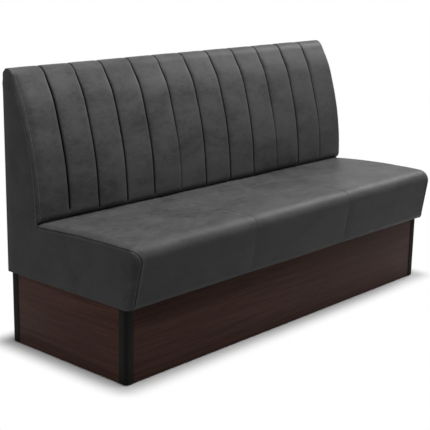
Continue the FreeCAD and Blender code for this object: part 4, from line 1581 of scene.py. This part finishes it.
class InnerFrame:
    """The timber frame and the webbing under the upholstery."""

    ALONG = ("seat_rail_front", "seat_rail_rear", "back_rail_bottom", "back_rail_middle", "back_rail_top",
             "back_panel")
    ACROSS = ("seat_rail_left_end", "seat_rail_right_end", "seat_cross_rail_left", "seat_cross_rail_right")
    UPRIGHT = ("back_upright_left_end", "back_upright_right_end", "back_upright_left", "back_upright_middle",
               "back_upright_right")
    STRAP_EDGE = 0.0004

    def make(self, workshop: Workshop) -> None:
        """Dress the timbers and make the webbing."""
        timbers = {Grain.ALONG: self.ALONG, Grain.ACROSS: self.ACROSS, Grain.UPRIGHT: self.UPRIGHT}
        for grain, nodes in timbers.items():
            for node in nodes:
                workshop.dress(node, Timber.pine(grain))
        webbing = Weave("elastic_webbing", (0.10, 0.07, 0.05), (0.34, 0.28, 0.21), 900.0, 0.0003)
        straps = workshop.crisp_copy("seat_webbing", self.STRAP_EDGE)
        workshop.piece("webbing_straps", straps, webbing, "webbing_fabric", ["seat_webbing"])


class Studio:
    """The plain pale floor, the soft lamps and the camera."""

    CAMERA_PLACE = Vector((-3.22466, -2.7516, 1.47047))
    CAMERA_YAW = math.radians(48.2006)
    CAMERA_PITCH = math.radians(-14.3536)
    CAMERA_ROLL = math.radians(1.0941)
    CAMERA_LENS = 90.24
    SENSOR_WIDTH = 36.0
    FLOOR_SIZE = 7.0
    FLOOR_DARK = (0.11, 0.11, 0.11)
    FLOOR_LIGHT = (0.13, 0.13, 0.13)
    SHADOW_REACH = 0.110
    WHITE = (1.0, 1.0, 1.0, 1.0)
    SHOWN_WHITE = (0.67, 0.67, 0.67, 1.0)
    SHOWN_GLOW = 0.02
    WORLD_LEVEL = 0.06

    def make(self) -> None:
        """Set up everything around the bench."""
        self.add_world()
        self.add_floor()
        self.add_lamp("overhead_softbox", (-0.5, -0.6, 3.1), (-0.5, -0.6, 0.5), 1.9, 91.0)
        self.add_lamp("right_softbox", (3.6, -0.2, 3.0), (0.0, 0.0, 0.5), 1.8, 95.0)
        self.add_lamp("left_fill", (-3.6, -0.7, 1.9), (0.0, 0.0, 0.5), 1.8, 15.5)
        self.add_camera()
        bpy.context.scene.view_settings.view_transform = "Standard"

    def add_world(self) -> None:
        """Add a world that lights weakly and shows white behind the bench."""
        world = bpy.data.worlds.new("studio")
        bpy.context.scene.world = world
        world.use_nodes = True
        tree = world.node_tree
        back = tree.nodes["Background"]
        back.inputs["Color"].default_value = self.WHITE
        tree.links.new(self.seen_ray(tree, self.WORLD_LEVEL), back.inputs["Strength"])

    def seen_ray(self, tree: bpy.types.NodeTree, otherwise: float) -> bpy.types.NodeSocket:
        """Return 1 for rays that show the surroundings themselves, and another level for the rest."""
        path = tree.nodes.new("ShaderNodeLightPath")
        total = path.outputs["Is Camera Ray"]
        for name in ("Is Glossy Ray", "Is Transmission Ray"):
            either = tree.nodes.new("ShaderNodeMath")
            either.operation = "MAXIMUM"
            tree.links.new(total, either.inputs[0])
            tree.links.new(path.outputs[name], either.inputs[1])
            total = either.outputs[0]
        level = tree.nodes.new("ShaderNodeMapRange")
        level.inputs["To Min"].default_value = otherwise
        tree.links.new(total, level.inputs["Value"])
        return level.outputs["Result"]

    def add_floor(self) -> None:
        """Add the floor, which keeps the shadow near the bench and is plain white further off."""
        floor_mesh = bmesh.new()
        bmesh.ops.create_grid(floor_mesh, x_segments=8, y_segments=8, size=self.FLOOR_SIZE)
        data = bpy.data.meshes.new("studio_floor")
        floor_mesh.to_mesh(data)
        floor_mesh.free()
        data.materials.append(self.floor_material())
        floor = bpy.data.objects.new("studio_floor", data)
        bpy.context.scene.collection.objects.link(floor)

    def floor_material(self) -> bpy.types.Material:
        """Build the floor's paint, which shows the shadow near the bench and plain white further off."""
        shader = ShaderTree("studio_floor_paint")
        speck = shader.noise(60.0, 3.0)
        colour = shader.ramp(speck, [(0.0, self.FLOOR_DARK), (1.0, self.FLOOR_LIGHT)])
        shader.set(base_color=colour, roughness=0.9, specular_ior_level=0.0)
        front_low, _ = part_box("plinth_post_front_left")
        _, rear_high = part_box("plinth_post_rear_right")
        middle = (front_low + rear_high) / 2
        extent = rear_high - middle
        aside = shader.vector("SUBTRACT", shader.place, middle).outputs[0]
        beside = shader.vector("ABSOLUTE", aside).outputs[0]
        outside = shader.vector("SUBTRACT", beside, extent).outputs[0]
        clear = shader.vector("MAXIMUM", outside).outputs[0]
        away = shader.vector("LENGTH", clear).outputs["Value"]
        inputs = {"Value": away, "From Max": self.SHADOW_REACH}
        plain = shader.add("ShaderNodeMapRange", inputs, interpolation_type="SMOOTHSTEP").outputs["Result"]
        lit = shader.add("ShaderNodeBsdfDiffuse", {"Color": self.SHOWN_WHITE})
        glow = shader.add("ShaderNodeEmission", {"Color": self.WHITE, "Strength": self.SHOWN_GLOW})
        paint = shader.add("ShaderNodeAddShader", {0: lit.outputs[0], 1: glow.outputs[0]})
        white = shader.add("ShaderNodeEmission", {"Color": self.WHITE, "Strength": 1.0})
        shown = shader.add("ShaderNodeMixShader", {0: plain, 1: paint.outputs[0], 2: white.outputs[0]})
        seen = self.seen_ray(shader.tree, 0.0)
        mix = shader.add("ShaderNodeMixShader", {0: seen, 1: shader.shader.outputs[0], 2: shown.outputs[0]})
        shader.tree.links.new(mix.outputs[0], shader.tree.nodes["Material Output"].inputs["Surface"])
        return shader.material

    def add_lamp(self, name: str, place: Sequence[float], target: Sequence[float], size: float,
                 power: float) -> None:
        """Add a square softbox.

        Args:
            name: The lamp's name.
            place: Where it hangs.
            target: What it points at.
            size: The length of its sides.
            power: Its power in watts.
        """
        light = bpy.data.lights.new(name, "AREA")
        light.energy = power
        light.size = size
        lamp = bpy.data.objects.new(name, light)
        lamp.location = place
        lamp.rotation_euler = (Vector(target) - Vector(place)).to_track_quat("-Z", "Y").to_euler()
        bpy.context.scene.collection.objects.link(lamp)

    def add_camera(self) -> None:
        """Add the camera at the photograph's viewing angle."""
        yaw, pitch, roll = self.CAMERA_YAW, self.CAMERA_PITCH, self.CAMERA_ROLL
        ahead = Vector((math.sin(yaw) * math.cos(pitch), math.cos(yaw) * math.cos(pitch), math.sin(pitch)))
        level = ahead.cross(Vector((0, 0, 1))).normalized()
        above = level.cross(ahead)
        right = math.cos(roll) * level + math.sin(roll) * above
        up = math.cos(roll) * above - math.sin(roll) * level
        lens = bpy.data.cameras.new("photo_camera")
        lens.lens = self.CAMERA_LENS
        lens.sensor_width = self.SENSOR_WIDTH
        camera = bpy.data.objects.new("photo_camera", lens)
        turn = Matrix((right, up, -ahead)).transposed().to_4x4()
        camera.matrix_world = Matrix.Translation(self.CAMERA_PLACE) @ turn
        bpy.context.scene.collection.objects.link(camera)
        bpy.context.scene.camera = camera


def main() -> None:
    """Build the bench's pieces in order, then the studio."""
    logging.basicConfig(level=logging.INFO, format="%(message)s")
    sizes = BenchSizes.from_frame()
    workshop = Workshop()
    BackCushion(sizes).make(workshop)
    SeatCushion(sizes).make(workshop)
    for side in Side:
        EndPanel(sizes, side).make(workshop)
    RearCover(sizes).make(workshop)
    FoamCore().make(workshop)
    DustCover().make(workshop)
    Plinth().make(workshop)
    InnerFrame().make(workshop)
    Studio().make()


if __name__ == "__main__":
    main()
